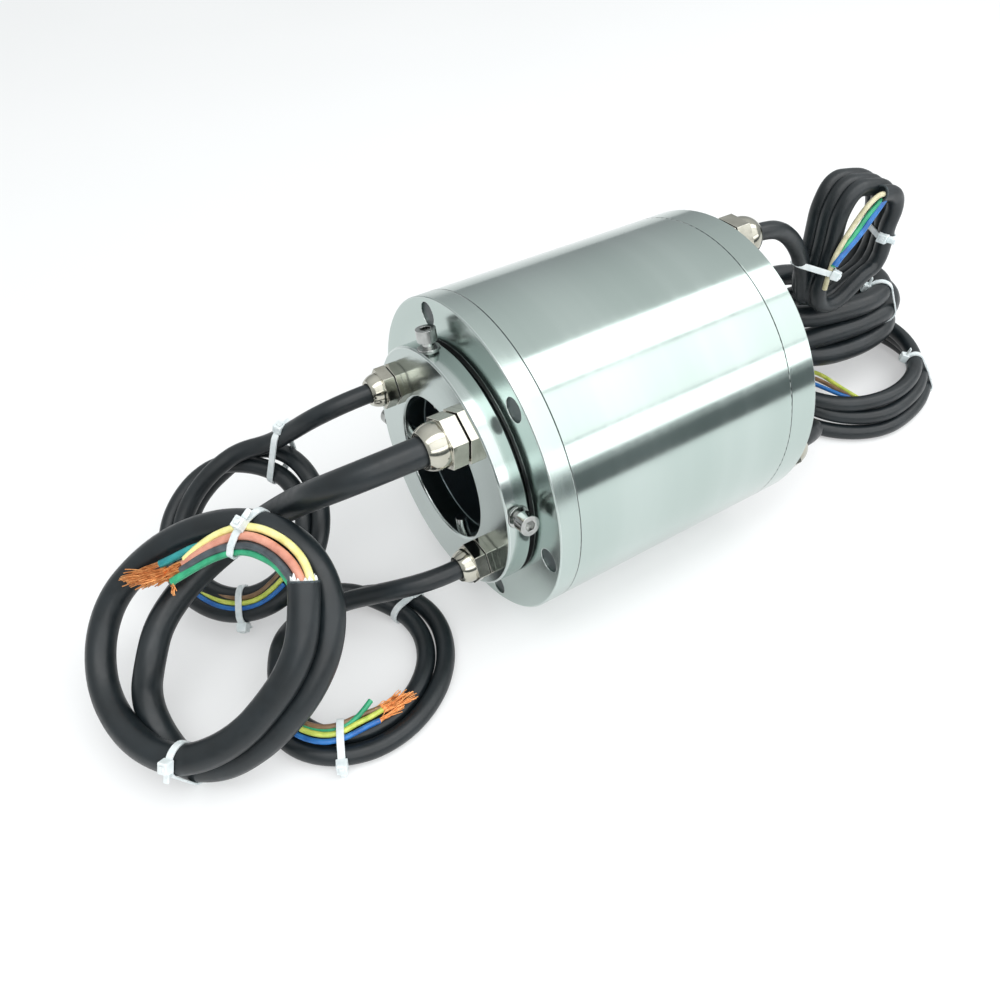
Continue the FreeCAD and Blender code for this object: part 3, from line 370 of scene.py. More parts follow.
# The lighter edge colours below are partly wear and partly painted highlight of the rounded edges.
STEEL = Finish("turned_steel", tone(172, 186, 181), tone(188, 200, 196), 0.09, 0.13, metallic=1.0,
               marks=Marks.TURNED, grain_scale=2600.0, grain_height=0.0000012,
               wear_and_highlight=tone(244, 247, 246), wear_and_highlight_share=0.8, edge=0.0006, anisotropic=0.5)
FLANGE_FACE = replace(STEEL, name="turned_satin", rough_low=0.17, rough_high=0.23)
COLLAR = Finish("turned_collar", tone(172, 183, 180), tone(194, 204, 201), 0.13, 0.19, metallic=1.0,
                marks=Marks.TURNED, grain_scale=2100.0, grain_height=0.000002,
                wear_and_highlight=tone(248, 250, 249), wear_and_highlight_share=0.9, edge=0.0005, anisotropic=0.4)
BORE = Finish("bore_sleeve", tone(112, 124, 130), tone(142, 154, 160), 0.26, 0.34, metallic=1.0,
              marks=Marks.TURNED, grain_scale=1800.0, grain_height=0.000003,
              wear_and_highlight=tone(150, 154, 156), edge=0.0004, anisotropic=0.4)
NICKEL = Finish("plated_nickel", tone(160, 158, 146), tone(196, 194, 182), 0.09, 0.15, metallic=1.0,
                patch_scale=90.0, grain_scale=3200.0, grain_height=0.000002,
                wear_and_highlight=tone(238, 236, 226), wear_and_highlight_share=0.7, edge=0.0004)
SCREW = Finish("screw_steel", tone(140, 142, 140), tone(184, 186, 184), 0.1, 0.18, metallic=1.0,
               patch_scale=160.0, grain_scale=4200.0, grain_height=0.000003,
               wear_and_highlight=tone(238, 239, 238), edge=0.00025)
BEARING = Finish("bearing_steel", tone(176, 180, 184), tone(206, 209, 212), 0.08, 0.14,
                 metallic=1.0, marks=Marks.TURNED, grain_scale=3000.0, grain_height=0.000001,
                 wear_and_highlight=tone(232, 234, 236), anisotropic=0.3)
RING_BRASS = Finish("contact_ring", tone(196, 152, 84), tone(226, 186, 116), 0.16, 0.26, metallic=1.0,
                    marks=Marks.TURNED, grain_scale=2400.0, grain_height=0.000003,
                    wear_and_highlight=tone(244, 214, 156), anisotropic=0.4)
CAGE_BRASS = Finish("cage_brass", tone(166, 130, 72), tone(198, 160, 96), 0.28, 0.4, metallic=1.0,
                    patch_scale=120.0, grain_height=0.00001, wear_and_highlight=tone(226, 194, 136))
SPRING = Finish("spring_brass", tone(186, 150, 90), tone(218, 184, 122), 0.18, 0.28, metallic=1.0,
                patch_scale=200.0, grain_scale=5000.0, grain_height=0.000004)
INSULATOR = Finish("insulator_resin", tone(92, 60, 40), tone(128, 86, 58), 0.34, 0.5,
                   marks=Marks.TURNED, grain_scale=1500.0, grain_height=0.00001,
                   wear_and_highlight=tone(160, 118, 86))
CARBON = Finish("brush_carbon", tone(34, 34, 36), tone(58, 58, 60), 0.4, 0.6, metallic=0.3,
                patch_scale=300.0, grain_scale=3600.0, grain_height=0.00002)
PLUG = Finish("plug_slate", tone(36, 46, 48), tone(58, 68, 70), 0.32, 0.48,
              patch_scale=220.0, grain_scale=2600.0, grain_height=0.00002,
              wear_and_highlight=tone(120, 128, 132), edge=0.0003)
# Black rubber of the shaft seals; it also colours the gland-neck rings, which are painted shade.
SEAL = Finish("seal_rubber", tone(14, 15, 16), tone(30, 31, 33), 0.4, 0.6,
              patch_scale=180.0, grain_scale=2600.0, grain_height=0.00002)
JACKET = Finish("cable_jacket", tone(12, 19, 22), tone(23, 31, 35), 0.33, 0.46,
                patch_scale=70.0, grain_scale=2600.0, grain_height=0.000012)
NYLON = Finish("tie_nylon", tone(214, 226, 228), tone(240, 246, 247), 0.28, 0.42,
               patch_scale=240.0, grain_scale=2200.0, grain_height=0.00003,
               scatter=0.35, passing=0.12)
COPPER = Finish("bare_copper", tone(206, 122, 66), tone(250, 182, 118), 0.26, 0.4, metallic=0.9,
                patch_scale=420.0, grain_scale=6000.0, grain_height=0.00001)
FILLER = Finish("cord_filler", tone(206, 210, 208), tone(244, 246, 245), 0.6, 0.8,
                patch_scale=600.0, grain_scale=5200.0, grain_height=0.00006, scatter=0.2)
JACKET_CUT = Finish("cut_jacket", tone(46, 54, 58), tone(66, 76, 80), 0.5, 0.7,
                    patch_scale=400.0, grain_scale=3600.0, grain_height=0.00005)


def core_finish(name: str, dark: Colour, light: Colour) -> Finish:
    """Return the finish of a core's moulded insulation.

    Args:
        name: The finish's name.
        dark: Its darker tone.
        light: Its lighter tone.

    Returns:
        The finish.
    """
    return Finish(name, dark, light, 0.3, 0.44, patch_scale=160.0, grain_scale=2600.0,
                  grain_height=0.00001, scatter=0.08, coat=0.1)


CORE_YELLOW = core_finish("core_yellow", tone(214, 206, 118), tone(246, 242, 172))
CORE_SALMON = core_finish("core_salmon", tone(186, 118, 98), tone(222, 160, 138))
CORE_GREY = core_finish("core_grey", tone(44, 50, 54), tone(82, 92, 98))
CORE_GREEN = core_finish("core_green", tone(20, 128, 92), tone(60, 178, 128))
CORE_EARTH = core_finish("core_earth", tone(150, 176, 56), tone(216, 222, 108))
CORE_BLUE = core_finish("core_blue", tone(20, 74, 146), tone(40, 118, 190))
CORE_TEAL = core_finish("core_teal", tone(18, 112, 120), tone(48, 158, 156))
CORE_BROWN = core_finish("core_brown", tone(96, 72, 50), tone(142, 112, 82))
CORE_BEIGE = core_finish("core_beige", tone(176, 168, 132), tone(214, 208, 176))


class Finisher:
    """Makes each finish's material once and puts it on pieces and CAD nodes."""

    NODES: dict[str, Finish] = {
        "front_flange": FLANGE_FACE, "housing_tube": STEEL, "rear_flange": STEEL,
        "front_flange_screws": SCREW, "rear_flange_screws": SCREW, "screw_plugs": PLUG,
        "front_bearing_inner_race": BEARING, "front_bearing_outer_race": BEARING,
        "front_bearing_balls": BEARING, "front_bearing_cage": CAGE_BRASS,
        "rear_bearing_inner_race": BEARING, "rear_bearing_outer_race": BEARING,
        "rear_bearing_balls": BEARING, "rear_bearing_cage": CAGE_BRASS,
        "front_seal": SEAL, "rear_seal": SEAL, "rotor_collar": COLLAR, "clamp_screws": SCREW,
        "clamp_washers": SCREW, "rotor_sleeve": BORE, "ring_insulator": INSULATOR,
        "brush_bars": INSULATOR, "brush_bar_screws": SCREW, "brushes": CARBON,
        "brush_springs": SPRING,
    }
    FAMILIES: tuple[tuple[str, Finish], ...] = (
        ("contact_ring_", RING_BRASS), ("front_gland_", NICKEL), ("rear_gland_", NICKEL),
        ("cable_", JACKET),
    )

    def __init__(self) -> None:
        """Start with no materials made."""
        self.made: dict[str, bpy.types.Material] = {}

    def material(self, finish: Finish) -> bpy.types.Material:
        """Return the finish's material, built the first time it is asked for.

        Args:
            finish: The surface.

        Returns:
            Its material.
        """
        if finish.name not in self.made:
            self.made[finish.name] = Painter(finish).build()
        return self.made[finish.name]

    def dress(self, piece: bpy.types.Object, finish: Finish) -> None:
        """Put a finish on every material slot of a piece or CAD node.

        Args:
            piece: The object.
            finish: What it is made of.
        """
        material = self.material(finish)
        if not piece.material_slots:
            piece.data.materials.append(material)
        for holder in piece.material_slots:
            holder.material = material

    def dress_frame(self, nodes: dict[str, bpy.types.Object]) -> None:
        """Dress every CAD node that stays on show.

        Args:
            nodes: The frame's nodes by name.
        """
        low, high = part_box(JOINT_NODE)
        joints = (round(low[0], 5), round(high[0], 5))
        for name, node in nodes.items():
            finish = self.NODES.get(name, STEEL)
            for start, family in self.FAMILIES:
                if name.startswith(start):
                    finish = family
            if finish in (STEEL, FLANGE_FACE):
                finish = replace(finish, joints=joints)
            self.dress(node, finish)
            log.info("dressed %s in %s", name, finish.name)


# Geometry


# A coil plane whose level axis is shorter than this before it is scaled lies flat.
FLAT_COIL = 0.01
CURVE_STEPS = 8
HARD_EDGE = 35


@dataclass(frozen=True)
class CoilPlane:
    """The plane of a coil. A point is an angle in it, a distance and a height over it, in mm."""

    centre: Point
    normal: Point

    def axes(self) -> tuple[Vector, Vector, Vector]:
        """Work out the plane's directions.

        Returns:
            Its level axis, its rising axis and its normal.
        """
        up = Vector(self.normal).normalized()
        level = Vector((0, 0, 1)).cross(up)
        level = Vector((1, 0, 0)) if level.length < FLAT_COIL else level.normalized()
        return level, up.cross(level), up

    def at(self, angle: float, radius: float, height: float) -> Vector:
        """Return the point at an angle in degrees, a radius and a height.

        Args:
            angle: Angle from the level axis.
            radius: Distance from the centre in mm.
            height: Height over the plane in mm.

        Returns:
            The point in metres.
        """
        level, rise, up = self.axes()
        turn = math.radians(angle)
        flat = (level * math.cos(turn) + rise * math.sin(turn)) * radius
        return (Vector(self.centre) + flat + up * height) * MM


def eased(table: tuple[Turn, ...], angle: float) -> tuple[float, float]:
    """Read a turn table smoothly between its rows.

    Args:
        table: Rows of angle, radius and height, in the order that the strand runs.
        angle: Where to read it.

    Returns:
        Radius and height at that angle.
    """
    way = 1 if table[-1][0] > table[0][0] else -1
    last = len(table) - 2
    at = next((i for i in range(last + 1) if angle * way <= table[i + 1][0] * way), last)
    rows = [table[max(0, min(len(table) - 1, at + k))] for k in (-1, 0, 1, 2)]
    span = rows[2][0] - rows[1][0]
    share = max(0.0, min(1.0, (angle - rows[1][0]) / span))
    out = []
    for k in (1, 2):
        before = rows[2][0] - rows[0][0]
        after = rows[3][0] - rows[1][0]
        start = (rows[2][k] - rows[0][k]) / before * span if before else 0.0
        end = (rows[3][k] - rows[1][k]) / after * span if after else 0.0
        square, cube = share * share, share ** 3
        out.append((2 * cube - 3 * square + 1) * rows[1][k] + (cube - 2 * square + share) * start
                   + (3 * square - 2 * cube) * rows[2][k] + (cube - square) * end)
    return out[0], out[1]


def new_curve(name: str, lines: list[list[Vector]], radius: float, rings: int) -> bpy.types.Object:
    """Make a round tube along each line of points, as NURBS splines with free ends.

    Args:
        name: The piece's name.
        lines: The control points of each spline, in metres.
        radius: The tube's radius in metres.
        rings: Points on a quarter of the tube.

    Returns:
        The curve object.
    """
    data = bpy.data.curves.new(name, "CURVE")
    data.dimensions = "3D"
    data.bevel_depth = radius
    data.bevel_resolution = rings
    data.use_fill_caps = True
    for line in lines:
        spline = data.splines.new("NURBS")
        spline.points.add(len(line) - 1)
        for held, point in zip(spline.points, line):
            held.co = (*point, 1.0)
        spline.order_u = 3
        spline.use_endpoint_u = True
        spline.resolution_u = CURVE_STEPS
    piece = bpy.data.objects.new(name, data)
    bpy.context.scene.collection.objects.link(piece)
    return piece


def new_mesh(name: str, shape: bmesh.types.BMesh) -> bpy.types.Object:
    """Turn a bmesh into a smooth-shaded object.

    Args:
        name: The piece's name.
        shape: The mesh, which is freed.

    Returns:
        The object.
    """
    bmesh.ops.recalc_face_normals(shape, faces=shape.faces)
    data = bpy.data.meshes.new(name)
    shape.to_mesh(data)
    shape.free()
    data.shade_smooth()
    piece = bpy.data.objects.new(name, data)
    bpy.context.scene.collection.objects.link(piece)
    return piece


def soften(piece: bpy.types.Object, width: float, segments: int) -> None:
    """Round a piece's hard edges.

    Args:
        piece: The mesh object.
        width: How wide the rounding is, in metres.
        segments: Steps in it.
    """
    bevel = piece.modifiers.new("rounding", "BEVEL")
    bevel.width = width
    bevel.segments = segments
    bevel.limit_method = "ANGLE"
    bevel.angle_limit = math.radians(HARD_EDGE)
    bevel.harden_normals = True


def lathe(name: str, profile: list[tuple[float, float]], base: Vector, axis: Vector,
          steps: int) -> bpy.types.Object:
    """Turn a closed profile about an axis.

    Args:
        name: The piece's name.
        profile: Distance along the axis and radius of each corner, in metres.
        base: Where the axis starts.
        axis: Its direction.
        steps: Sides of the turned piece.

    Returns:
        The object.
    """
    along = axis.normalized()
    side = along.orthogonal().normalized()
    other = along.cross(side)
    shape = bmesh.new()
    rings = []
    for k in range(steps):
        turn = 2 * math.pi * k / steps
        out = side * math.cos(turn) + other * math.sin(turn)
        rings.append([shape.verts.new(base + along * a + out * r) for a, r in profile])
    for first, second in zip(rings, rings[1:] + rings[:1]):
        for k in range(len(profile)):
            nxt = (k + 1) % len(profile)
            shape.faces.new((first[k], first[nxt], second[nxt], second[k]))
    return new_mesh(name, shape)


def centreline(piece: bpy.types.Object) -> list[Vector]:
    """Return the points that a curve's own spline runs through.

    Args:
        piece: The curve object.

    Returns:
        Points in metres, close together.
    """
    plain = piece.copy()
    plain.data = piece.data.copy()
    plain.data.bevel_depth = 0.0
    mesh = bpy.data.meshes.new_from_object(plain)
    points = [v.co.copy() for v in mesh.vertices]
    bpy.data.meshes.remove(mesh)
    bpy.data.objects.remove(plain)
    return points


def run_length(points: list[Vector]) -> float:
    """Return the length of a line of points."""
    return sum((b - a).length for a, b in zip(points, points[1:]))


# Cables


@dataclass(frozen=True)
class Core:
    """A stripped core: its colour and the coil-plane points that it runs through."""

    finish: Finish
    turns: tuple[Turn, ...]
    radius: float = 1.4


@dataclass(frozen=True)
class Frayed:
    """A tuft of bare copper at a core's end, from one point towards another."""

    start: Turn
    end: Turn
    spread: float
    wires: int


@dataclass(frozen=True)
class Shreds:
    """The white paper shreds in a cut jacket. Lengths are in mm, seat is a share of its radius."""

    seed: int = 7
    count: int = 16
    swing: float = 0.15
    reach: tuple[float, float] = (2.2, 5.2)
    seat: float = 0.72
    depth: float = 0.8
    lean: float = 0.2
    tip: tuple[float, float] = (-0.2, 1.2)
    radius: float = 1.35
    rings: int = 2
    taper: tuple[float, float, float] = (1.0, 0.75, 0.12)


@dataclass(frozen=True)
class CablePlan:
    """One cable: its gland, the points of its run, the turns of its coil and its stripped end."""

    number: int
    body: str
    diameter: float
    length: float
    route: tuple[Point, ...]
    plane: CoilPlane
    turns: tuple[Turn, ...]
    cores: tuple[Core, ...] = ()
    tufts: tuple[Frayed, ...] = ()
    filler: Shreds | None = None
    step: float = 20.0


HANK_SHAPE: tuple[tuple[float, float], ...] = (
    (280, 33), (300, 36), (320, 36), (345, 32), (365, 31), (387, 32), (402, 33), (418, 34),
    (436, 35.5), (458, 38), (475, 43.5), (486, 40), (502, 30), (520, 26.5), (540, 25.5),
    (560, 29), (575, 37), (588, 42), (602, 38), (620, 34),
)
HANK_LEAD: tuple[Turn, ...] = ((235.0, 42.0, -2.0), (250.0, 37.0, -5.0), (262.0, 35.0, -8.0))
HANK_HEIGHTS: tuple[float, ...] = (-10.0, -2.0, 6.0, 13.0, 13.0)
HANK_SQUEEZE = 4.5
HANK_SQUEEZED_TO = 410.0
HANK_STEP_FROM = 490.0
HANK_STEP_OVER = 140.0
HANK_END = 1532.0
HANK_END_RADIUS = 35.5


def hank_turns() -> tuple[Turn, ...]:
    """Work out the rows of the upright hank, whose loops narrow towards the near side.

    Returns:
        The hank's turn table.
    """
    rows = list(HANK_LEAD)
    for loop in range(len(HANK_HEIGHTS) - 1):
        for angle, radius in HANK_SHAPE:
            along = angle + 360.0 * loop
            if along > HANK_END:
                break
            near = HANK_SQUEEZE * loop if angle < HANK_SQUEEZED_TO else 0.0
            share = max(0.0, (angle - HANK_STEP_FROM) / HANK_STEP_OVER)
            height = HANK_HEIGHTS[loop] * (1 - share) + HANK_HEIGHTS[loop + 1] * share
            rows.append((along, radius - near, height))
    rows.append((HANK_END, HANK_END_RADIUS, HANK_HEIGHTS[-1]))
    return tuple(rows)


CABLES: tuple[CablePlan, ...] = (
    CablePlan(
        1, "rotor", 14.5, 0.75,
        ((-30.0, -26.76, 42.83), (-46.5, -26.76, 42.83), (-61.7, -23.2, 39.4),
         (-74.6, -16.4, 32.9), (-84.0, -7.1, 24.0), (-91.0, 7.5, 9.5), (-101.5, 18.0, -3.5),
         (-116.0, 25.5, -16.0), (-134.0, 28.0, -27.0), (-152.0, 24.5, -35.0),
         (-167.0, 15.5, -41.0), (-176.5, 3.0, -47.0)),
        CoilPlane((-150.0, -14.1, -31.6), (-0.589, -0.313, 0.743)),
        ((238, 47, -5), (250, 50.5, -6.5), (268, 57, -7), (285, 60.5, -6.5), (303, 56.5, -6),
         (335, 53, -4.5), (363, 56.8, -3.5), (389, 63.5, -3), (403, 65.4, -3), (418, 65.5, -2),
         (437, 62.4, 0), (456, 57.2, 1), (475, 53.2, 0), (515, 53.4, -0.5), (546, 61, -0.5),
         (572, 64.2, -0.5), (590, 62, 2), (614, 57, 6), (642, 54.5, 7.5), (663, 50, 7),
         (690, 46.5, 6), (705, 46, 6), (735, 52.5, 8), (750, 58, 10), (768, 62.2, 11)),
        cores=(
            Core(CORE_YELLOW, ((39, 65, 10), (46, 67, 11.5), (55, 67.8, 11), (65, 65.8, 10),
                               (76, 62.5, 9.5), (85, 59.2, 9.5), (91, 56.3, 9.5),
                               (101, 50.9, 9), (113, 44.3, 9), (125, 38.8, 8.5)), 1.9),
            Core(CORE_SALMON, ((39, 62.5, 11.5), (48, 64, 13.5), (57, 63.1, 12.5),
                               (68, 60.2, 11.5), (79, 57, 11), (88, 53.4, 10.5),
                               (97, 48.4, 10), (107, 43, 9.5), (117, 39.5, 9),
                               (127, 37.2, 8)), 2.1),
            Core(CORE_GREY, ((39, 61, 12), (48, 60.5, 14), (58, 58.4, 13), (67, 56.2, 12),
                             (76, 53.5, 11), (84, 50.1, 10.5), (95, 45.2, 10),
                             (108, 40, 9.5), (124, 35.5, 8.5), (130, 34.6, 8)), 2.0),
            Core(CORE_GREEN, ((39, 59.5, 11), (50, 57.6, 11.5), (62, 54.9, 10.5), (70, 52, 10),
                              (79, 49.2, 9.5), (89, 45, 9), (102, 39.1, 8.5), (116, 34.6, 8),
                              (131, 32.2, 8), (142, 31.8, 8)), 1.9),
            Core(CORE_TEAL, ((39, 62, 9.5), (52, 60.5, 8.5), (66, 57, 7), (84, 52, 6.5),
                             (100, 47.5, 6), (112, 45, 6.5), (122, 43.4, 7), (132, 42, 7.5),
                             (145, 42.6, 8)), 1.9),
        ),
        tufts=(
            Frayed((124, 38.6, 8.5), (148, 39.5, 8), 0.5, 16),
            Frayed((126, 37.2, 8), (150, 37.5, 8), 0.6, 16),
            Frayed((129, 34.8, 8), (156, 38, 7.5), 1.2, 22),
            Frayed((145, 39.5, 8), (168, 51.5, 8), 1.5, 30),
            Frayed((146, 38, 8), (166, 45.5, 8), 1.6, 30),
            Frayed((148, 36.5, 8), (162, 40.5, 8), 1.4, 26),
            Frayed((145, 42.6, 8), (169, 52.5, 8), 1.3, 26),
            Frayed((141, 31.8, 8), (146, 26, 7), 1.2, 7),
        ),
        filler=Shreds(),
    ),
    CablePlan(
        2, "rotor", 10.0, 0.67,
        ((-26.0, 42.83, 26.76), (-36.0, 42.83, 26.76), (-46.5, 44.9, 24.4),
         (-55.6, 49.0, 19.8), (-62.6, 54.7, 13.5), (-70.0, 63.5, 3.5), (-79.0, 73.0, -7.0)),
        CoilPlane((-108.5, 56.8, -43.5), (-0.479, -0.402, 0.781)),
        ((105, 42, 5.5), (130, 35, 6), (160, 33, 4), (200, 34.5, 3), (240, 36, 1.5),
         (284, 36, 0), (330, 35, 0), (390, 35.5, -1), (430, 36, -3), (460, 36, -3),
         (490, 40.5, -2.5), (520, 41.5, -1.5), (560, 44.5, 0), (594, 46, 0), (645, 45, 0),
         (700, 43.5, 0), (750, 45.5, -1), (790, 47.5, -3), (820, 46, -6), (850, 40, -12.5),
         (880, 38, -11), (920, 37, -7.5), (930, 37, -7)),
        cores=(
            Core(CORE_BROWN, ((-150, 37, -5), (-135, 36.5, 1), (-120, 36, 3), (-106, 36, 4),
                              (-87, 37, 4), (-66, 37.6, 4), (-47, 36, 4), (-28, 34, 4))),
            Core(CORE_EARTH, ((-150, 38, -5), (-135, 39, 0), (-120, 39, 3), (-106, 39, 4),
                              (-87, 40, 4), (-66, 40.5, 4), (-47, 39, 4), (-30, 37, 4))),
            Core(CORE_BLUE, ((-150, 39, -6), (-135, 41.5, -1), (-120, 42, 3), (-106, 42, 4),
                             (-87, 43, 4), (-66, 43.4, 4), (-47, 42, 4), (-34, 40, 4))),
        ),
    ),
    CablePlan(
        3, "rotor", 10.0, 0.64,
        ((-26.0, -42.83, -26.76), (-37.0, -42.83, -26.76), (-48.5, -40.2, -28.3),
         (-59.2, -34.6, -32.0), (-69.0, -26.0, -38.5), (-81.0, -13.5, -49.0),
         (-95.5, -4.0, -59.5), (-107.4, -2.5, -69.5), (-112.9, -11.2, -77.3)),
        CoilPlane((-92.8, -26.3, -80.0), (0.0, 0.0, 1.0)),
        ((160, 31, 1), (175, 37, 0.3), (190, 43.5, 0.2), (205, 49, 0.2), (223, 52, 0.2),
         (254, 53.5, 0.2), (300, 52, 0.2), (343, 54, 0.2), (367, 55, 0.2), (388, 52.6, 0.2),
         (405, 48, 0.2), (420, 44, 0.2), (450, 40, 0.2), (480, 36, 3), (500, 32.5, 9),
         (520, 32, 10.5), (535, 34, 8.5), (550, 35.5, 5), (565, 38.5, 1.5), (583, 41.5, 0.2),
         (600, 43, 0.2), (660, 42, 0.2), (703, 43.5, 0.2), (735, 43.5, 0.2), (750, 42, 1.5),
         (770, 41, 7), (790, 41, 10), (812, 40, 10.5)),
        cores=(
            Core(CORE_GREEN, ((-272, 41, 11), (-255, 35, 12), (-240, 30, 12), (-222, 25.5, 12),
                              (-205, 25.5, 12), (-190, 29, 11.5), (-175, 34, 11),
                              (-160, 40, 9.5), (-144, 44.5, 9), (-128, 45.2, 8.5),
                              (-116, 44, 8.5), (-105, 39.5, 8.5), (-97, 36, 9),
                              (-90, 33.5, 9.5))),
            Core(CORE_BROWN, ((-272, 39, 11.5), (-255, 34, 13.5), (-240, 28.5, 13.5),
                              (-222, 24, 13.5), (-205, 24, 13.5), (-190, 27.5, 13),
                              (-175, 32.5, 12.5), (-160, 38.5, 11), (-144, 43.2, 10),
                              (-128, 43.8, 9.5), (-116, 42, 9.5), (-105, 38.5, 8),
                              (-94, 38, 7.5), (-86, 39, 8))),
            Core(CORE_EARTH, ((-272, 40, 9), (-255, 36.5, 13), (-240, 31, 14), (-222, 26.5, 14.5),
                              (-205, 26.5, 14.5), (-190, 30.5, 14), (-175, 35.5, 12.5),
                              (-160, 42, 10.5), (-144, 46.6, 10), (-128, 47.8, 9.5),
                              (-116, 46.4, 9), (-105, 42.2, 8.5), (-94, 41, 8),
                              (-86, 40.5, 8))),
            Core(CORE_BLUE, ((-272, 42, 9), (-255, 37, 10.5), (-240, 31.5, 11.5),
                             (-222, 26, 16.5), (-205, 26, 16.5), (-190, 32, 13.5),
                             (-175, 38, 10), (-160, 44, 8), (-144, 49.2, 8), (-128, 50.8, 8),
                             (-116, 49.4, 8), (-105, 46, 7.5), (-96, 44.6, 7.5),
                             (-91, 44.8, 7.5))),
        ),
        tufts=(
            Frayed((-88, 38.8, 8), (-70, 39.5, 8), 1.1, 24),
            Frayed((-87, 40.2, 8), (-66, 43, 8), 1.3, 26),
            Frayed((-91, 44.8, 7.5), (-75, 45, 7.5), 0.9, 24),
            Frayed((-84, 42, 8), (-68, 45.5, 8.5), 1.3, 24),
        ),
    ),
    CablePlan(
        4, "stator", 10.0, 0.87,
        ((177.5, 3.66, 69.9), (197.0, 3.66, 69.9), (214.0, 5.0, 63.0), (234.0, 9.0, 46.0),
         (250.0, 12.0, 24.0), (257.0, 12.0, 4.0)),
        CoilPlane((286.0, 12.0, 33.0), (0.0, -1.0, 0.0)),
        hank_turns(),
        cores=(
            Core(CORE_BEIGE, ((84, 35, 14), (91, 36.5, 15), (98, 37, 14.5), (111, 34.1, 14),
                              (133, 29.1, 14), (156, 28.5, 14.5), (179, 31.2, 15),
                              (209, 35.1, 15)), 1.6),
            Core(CORE_GREEN, ((84, 34.5, 13), (93, 33.3, 15), (113, 27.7, 15), (140, 23.8, 15.5),
                              (166, 27.6, 16), (182, 30.8, 16)), 1.5),
            Core(CORE_BLUE, ((84, 34, 14), (93, 31.7, 16), (107, 25, 16), (133, 21.3, 16.5),
                             (157, 24.2, 17), (173, 28.7, 17), (180, 30.5, 17)), 2.0),
        ),
    ),
    CablePlan(
        5, "stator", 14.5, 0.80,
        ((177.5, 58.7, -38.1), (196.0, 58.7, -38.1), (214.0, 57.0, -37.6),
         (232.0, 51.5, -36.0), (249.0, 42.0, -33.5)),
        CoilPlane((309.0, 35.0, -32.9), (0.0, 0.0, 1.0)),
        ((196, 47, -5.5), (208, 45.5, -11), (221.8, 46.2, -14.5), (239, 38.9, -14.5),
         (260, 36.5, -14.5), (279, 36.9, -14.5), (300, 40.5, -14.5), (320.8, 48.5, -14.5),
         (340, 54, -14.5), (360, 55.6, -14.5), (380, 51, -14.5), (405, 40, -14.5),
         (430, 32.5, -14.5), (450, 30.7, -14.5), (470, 32.5, -14.5), (495, 41, -14.5),
         (520, 52, -14.5), (540, 55.5, -13.5), (555, 54.5, -9), (568, 49, -4), (579, 42, 0),
         (607, 33.4, 0), (630, 32, 0), (656, 35.5, 0), (688, 49.8, 0), (705, 54.5, 0),
         (720, 55.6, 0), (740, 50, 0), (765, 39, 1), (790, 32, 4), (810, 30.7, 7),
         (830, 32.5, 10), (855, 41, 13), (880, 51.5, 14.5), (900, 54.5, 14.5),
         (920, 49, 14.5), (934.5, 41.3, 14.5), (961, 31.1, 14.5), (1003, 30.5, 14.5),
         (1037.5, 37.5, 14.5), (1056, 39.5, 14.5), (1069, 38.7, 14.5), (1090, 37, 14.5),
         (1112, 33, 14.5)),
        cores=(
            Core(CORE_TEAL, ((24, 34, 14.5), (34, 32, 15), (60, 24, 16.5), (110, 15, 17),
                             (170, 14, 17), (216, 17.5, 17), (238, 12.5, 17), (282, 12.8, 17),
                             (297, 20, 16.5))),
        ),
    ),
    CablePlan(
        6, "stator", 10.0, 1.26,
        ((177.5, -62.4, -31.8), (190.0, -62.4, -31.8), (201.5, -59.8, -34.1),
         (211.4, -54.8, -38.6), (219.0, -47.8, -44.8), (226.5, -37.9, -53.6),
         (235.4, -24.7, -65.3), (242.0, -12.0, -76.0)),
        CoilPlane((310.0, 15.0, -80.0), (0.0, 0.0, 1.0)),
        ((-182, 71, 0.3), (-200, 69, 0.2), (-270, 64, 0.2), (-360, 72, 0.2), (-393, 71, 0.2),
         (-413, 67, 0.2), (-441, 65, 0.2), (-464, 67.5, 0.2), (-499, 66, 0.2), (-518, 62, 0.7),
         (-550, 62, 6), (-600, 62, 9), (-630, 60, 10.2), (-720, 64, 10.2), (-765, 63, 10.2),
         (-801, 61, 10.2), (-825, 64, 10.2), (-859, 61.5, 10.2), (-890, 56, 14),
         (-930, 54, 18), (-990, 53, 20), (-1080, 56, 20), (-1125, 56, 20), (-1172, 57, 20),
         (-1190, 60, 20), (-1206, 61, 19), (-1225, 60.5, 18), (-1243, 59, 17.5)),
        cores=(
            Core(CORE_EARTH, ((-155, 59, 19), (-166, 57, 18.5), (-177, 52, 18), (-184, 44, 17),
                              (-183, 35, 16), (-166, 28, 16), (-148, 28, 16), (-132, 35.7, 16),
                              (-122, 44.1, 16), (-116, 50, 15.5))),
            Core(CORE_BLUE, ((-155, 59, 17), (-167, 59.5, 16.5), (-178, 56, 16.5), (-182, 49, 16),
                             (-176, 42, 15), (-158, 37.3, 14), (-142, 39.4, 14), (-130, 44, 14),
                             (-121, 47, 14), (-115, 49.5, 14))),
            Core(CORE_BROWN, ((-155, 60, 18), (-166, 58.5, 17.5), (-178, 54, 17), (-184, 46, 16),
                              (-180, 38, 15.5), (-162, 32.5, 15), (-145, 34, 15),
                              (-131, 40, 15), (-121.5, 45.6, 15), (-116, 49.5, 14.5))),
        ),
    ),
)


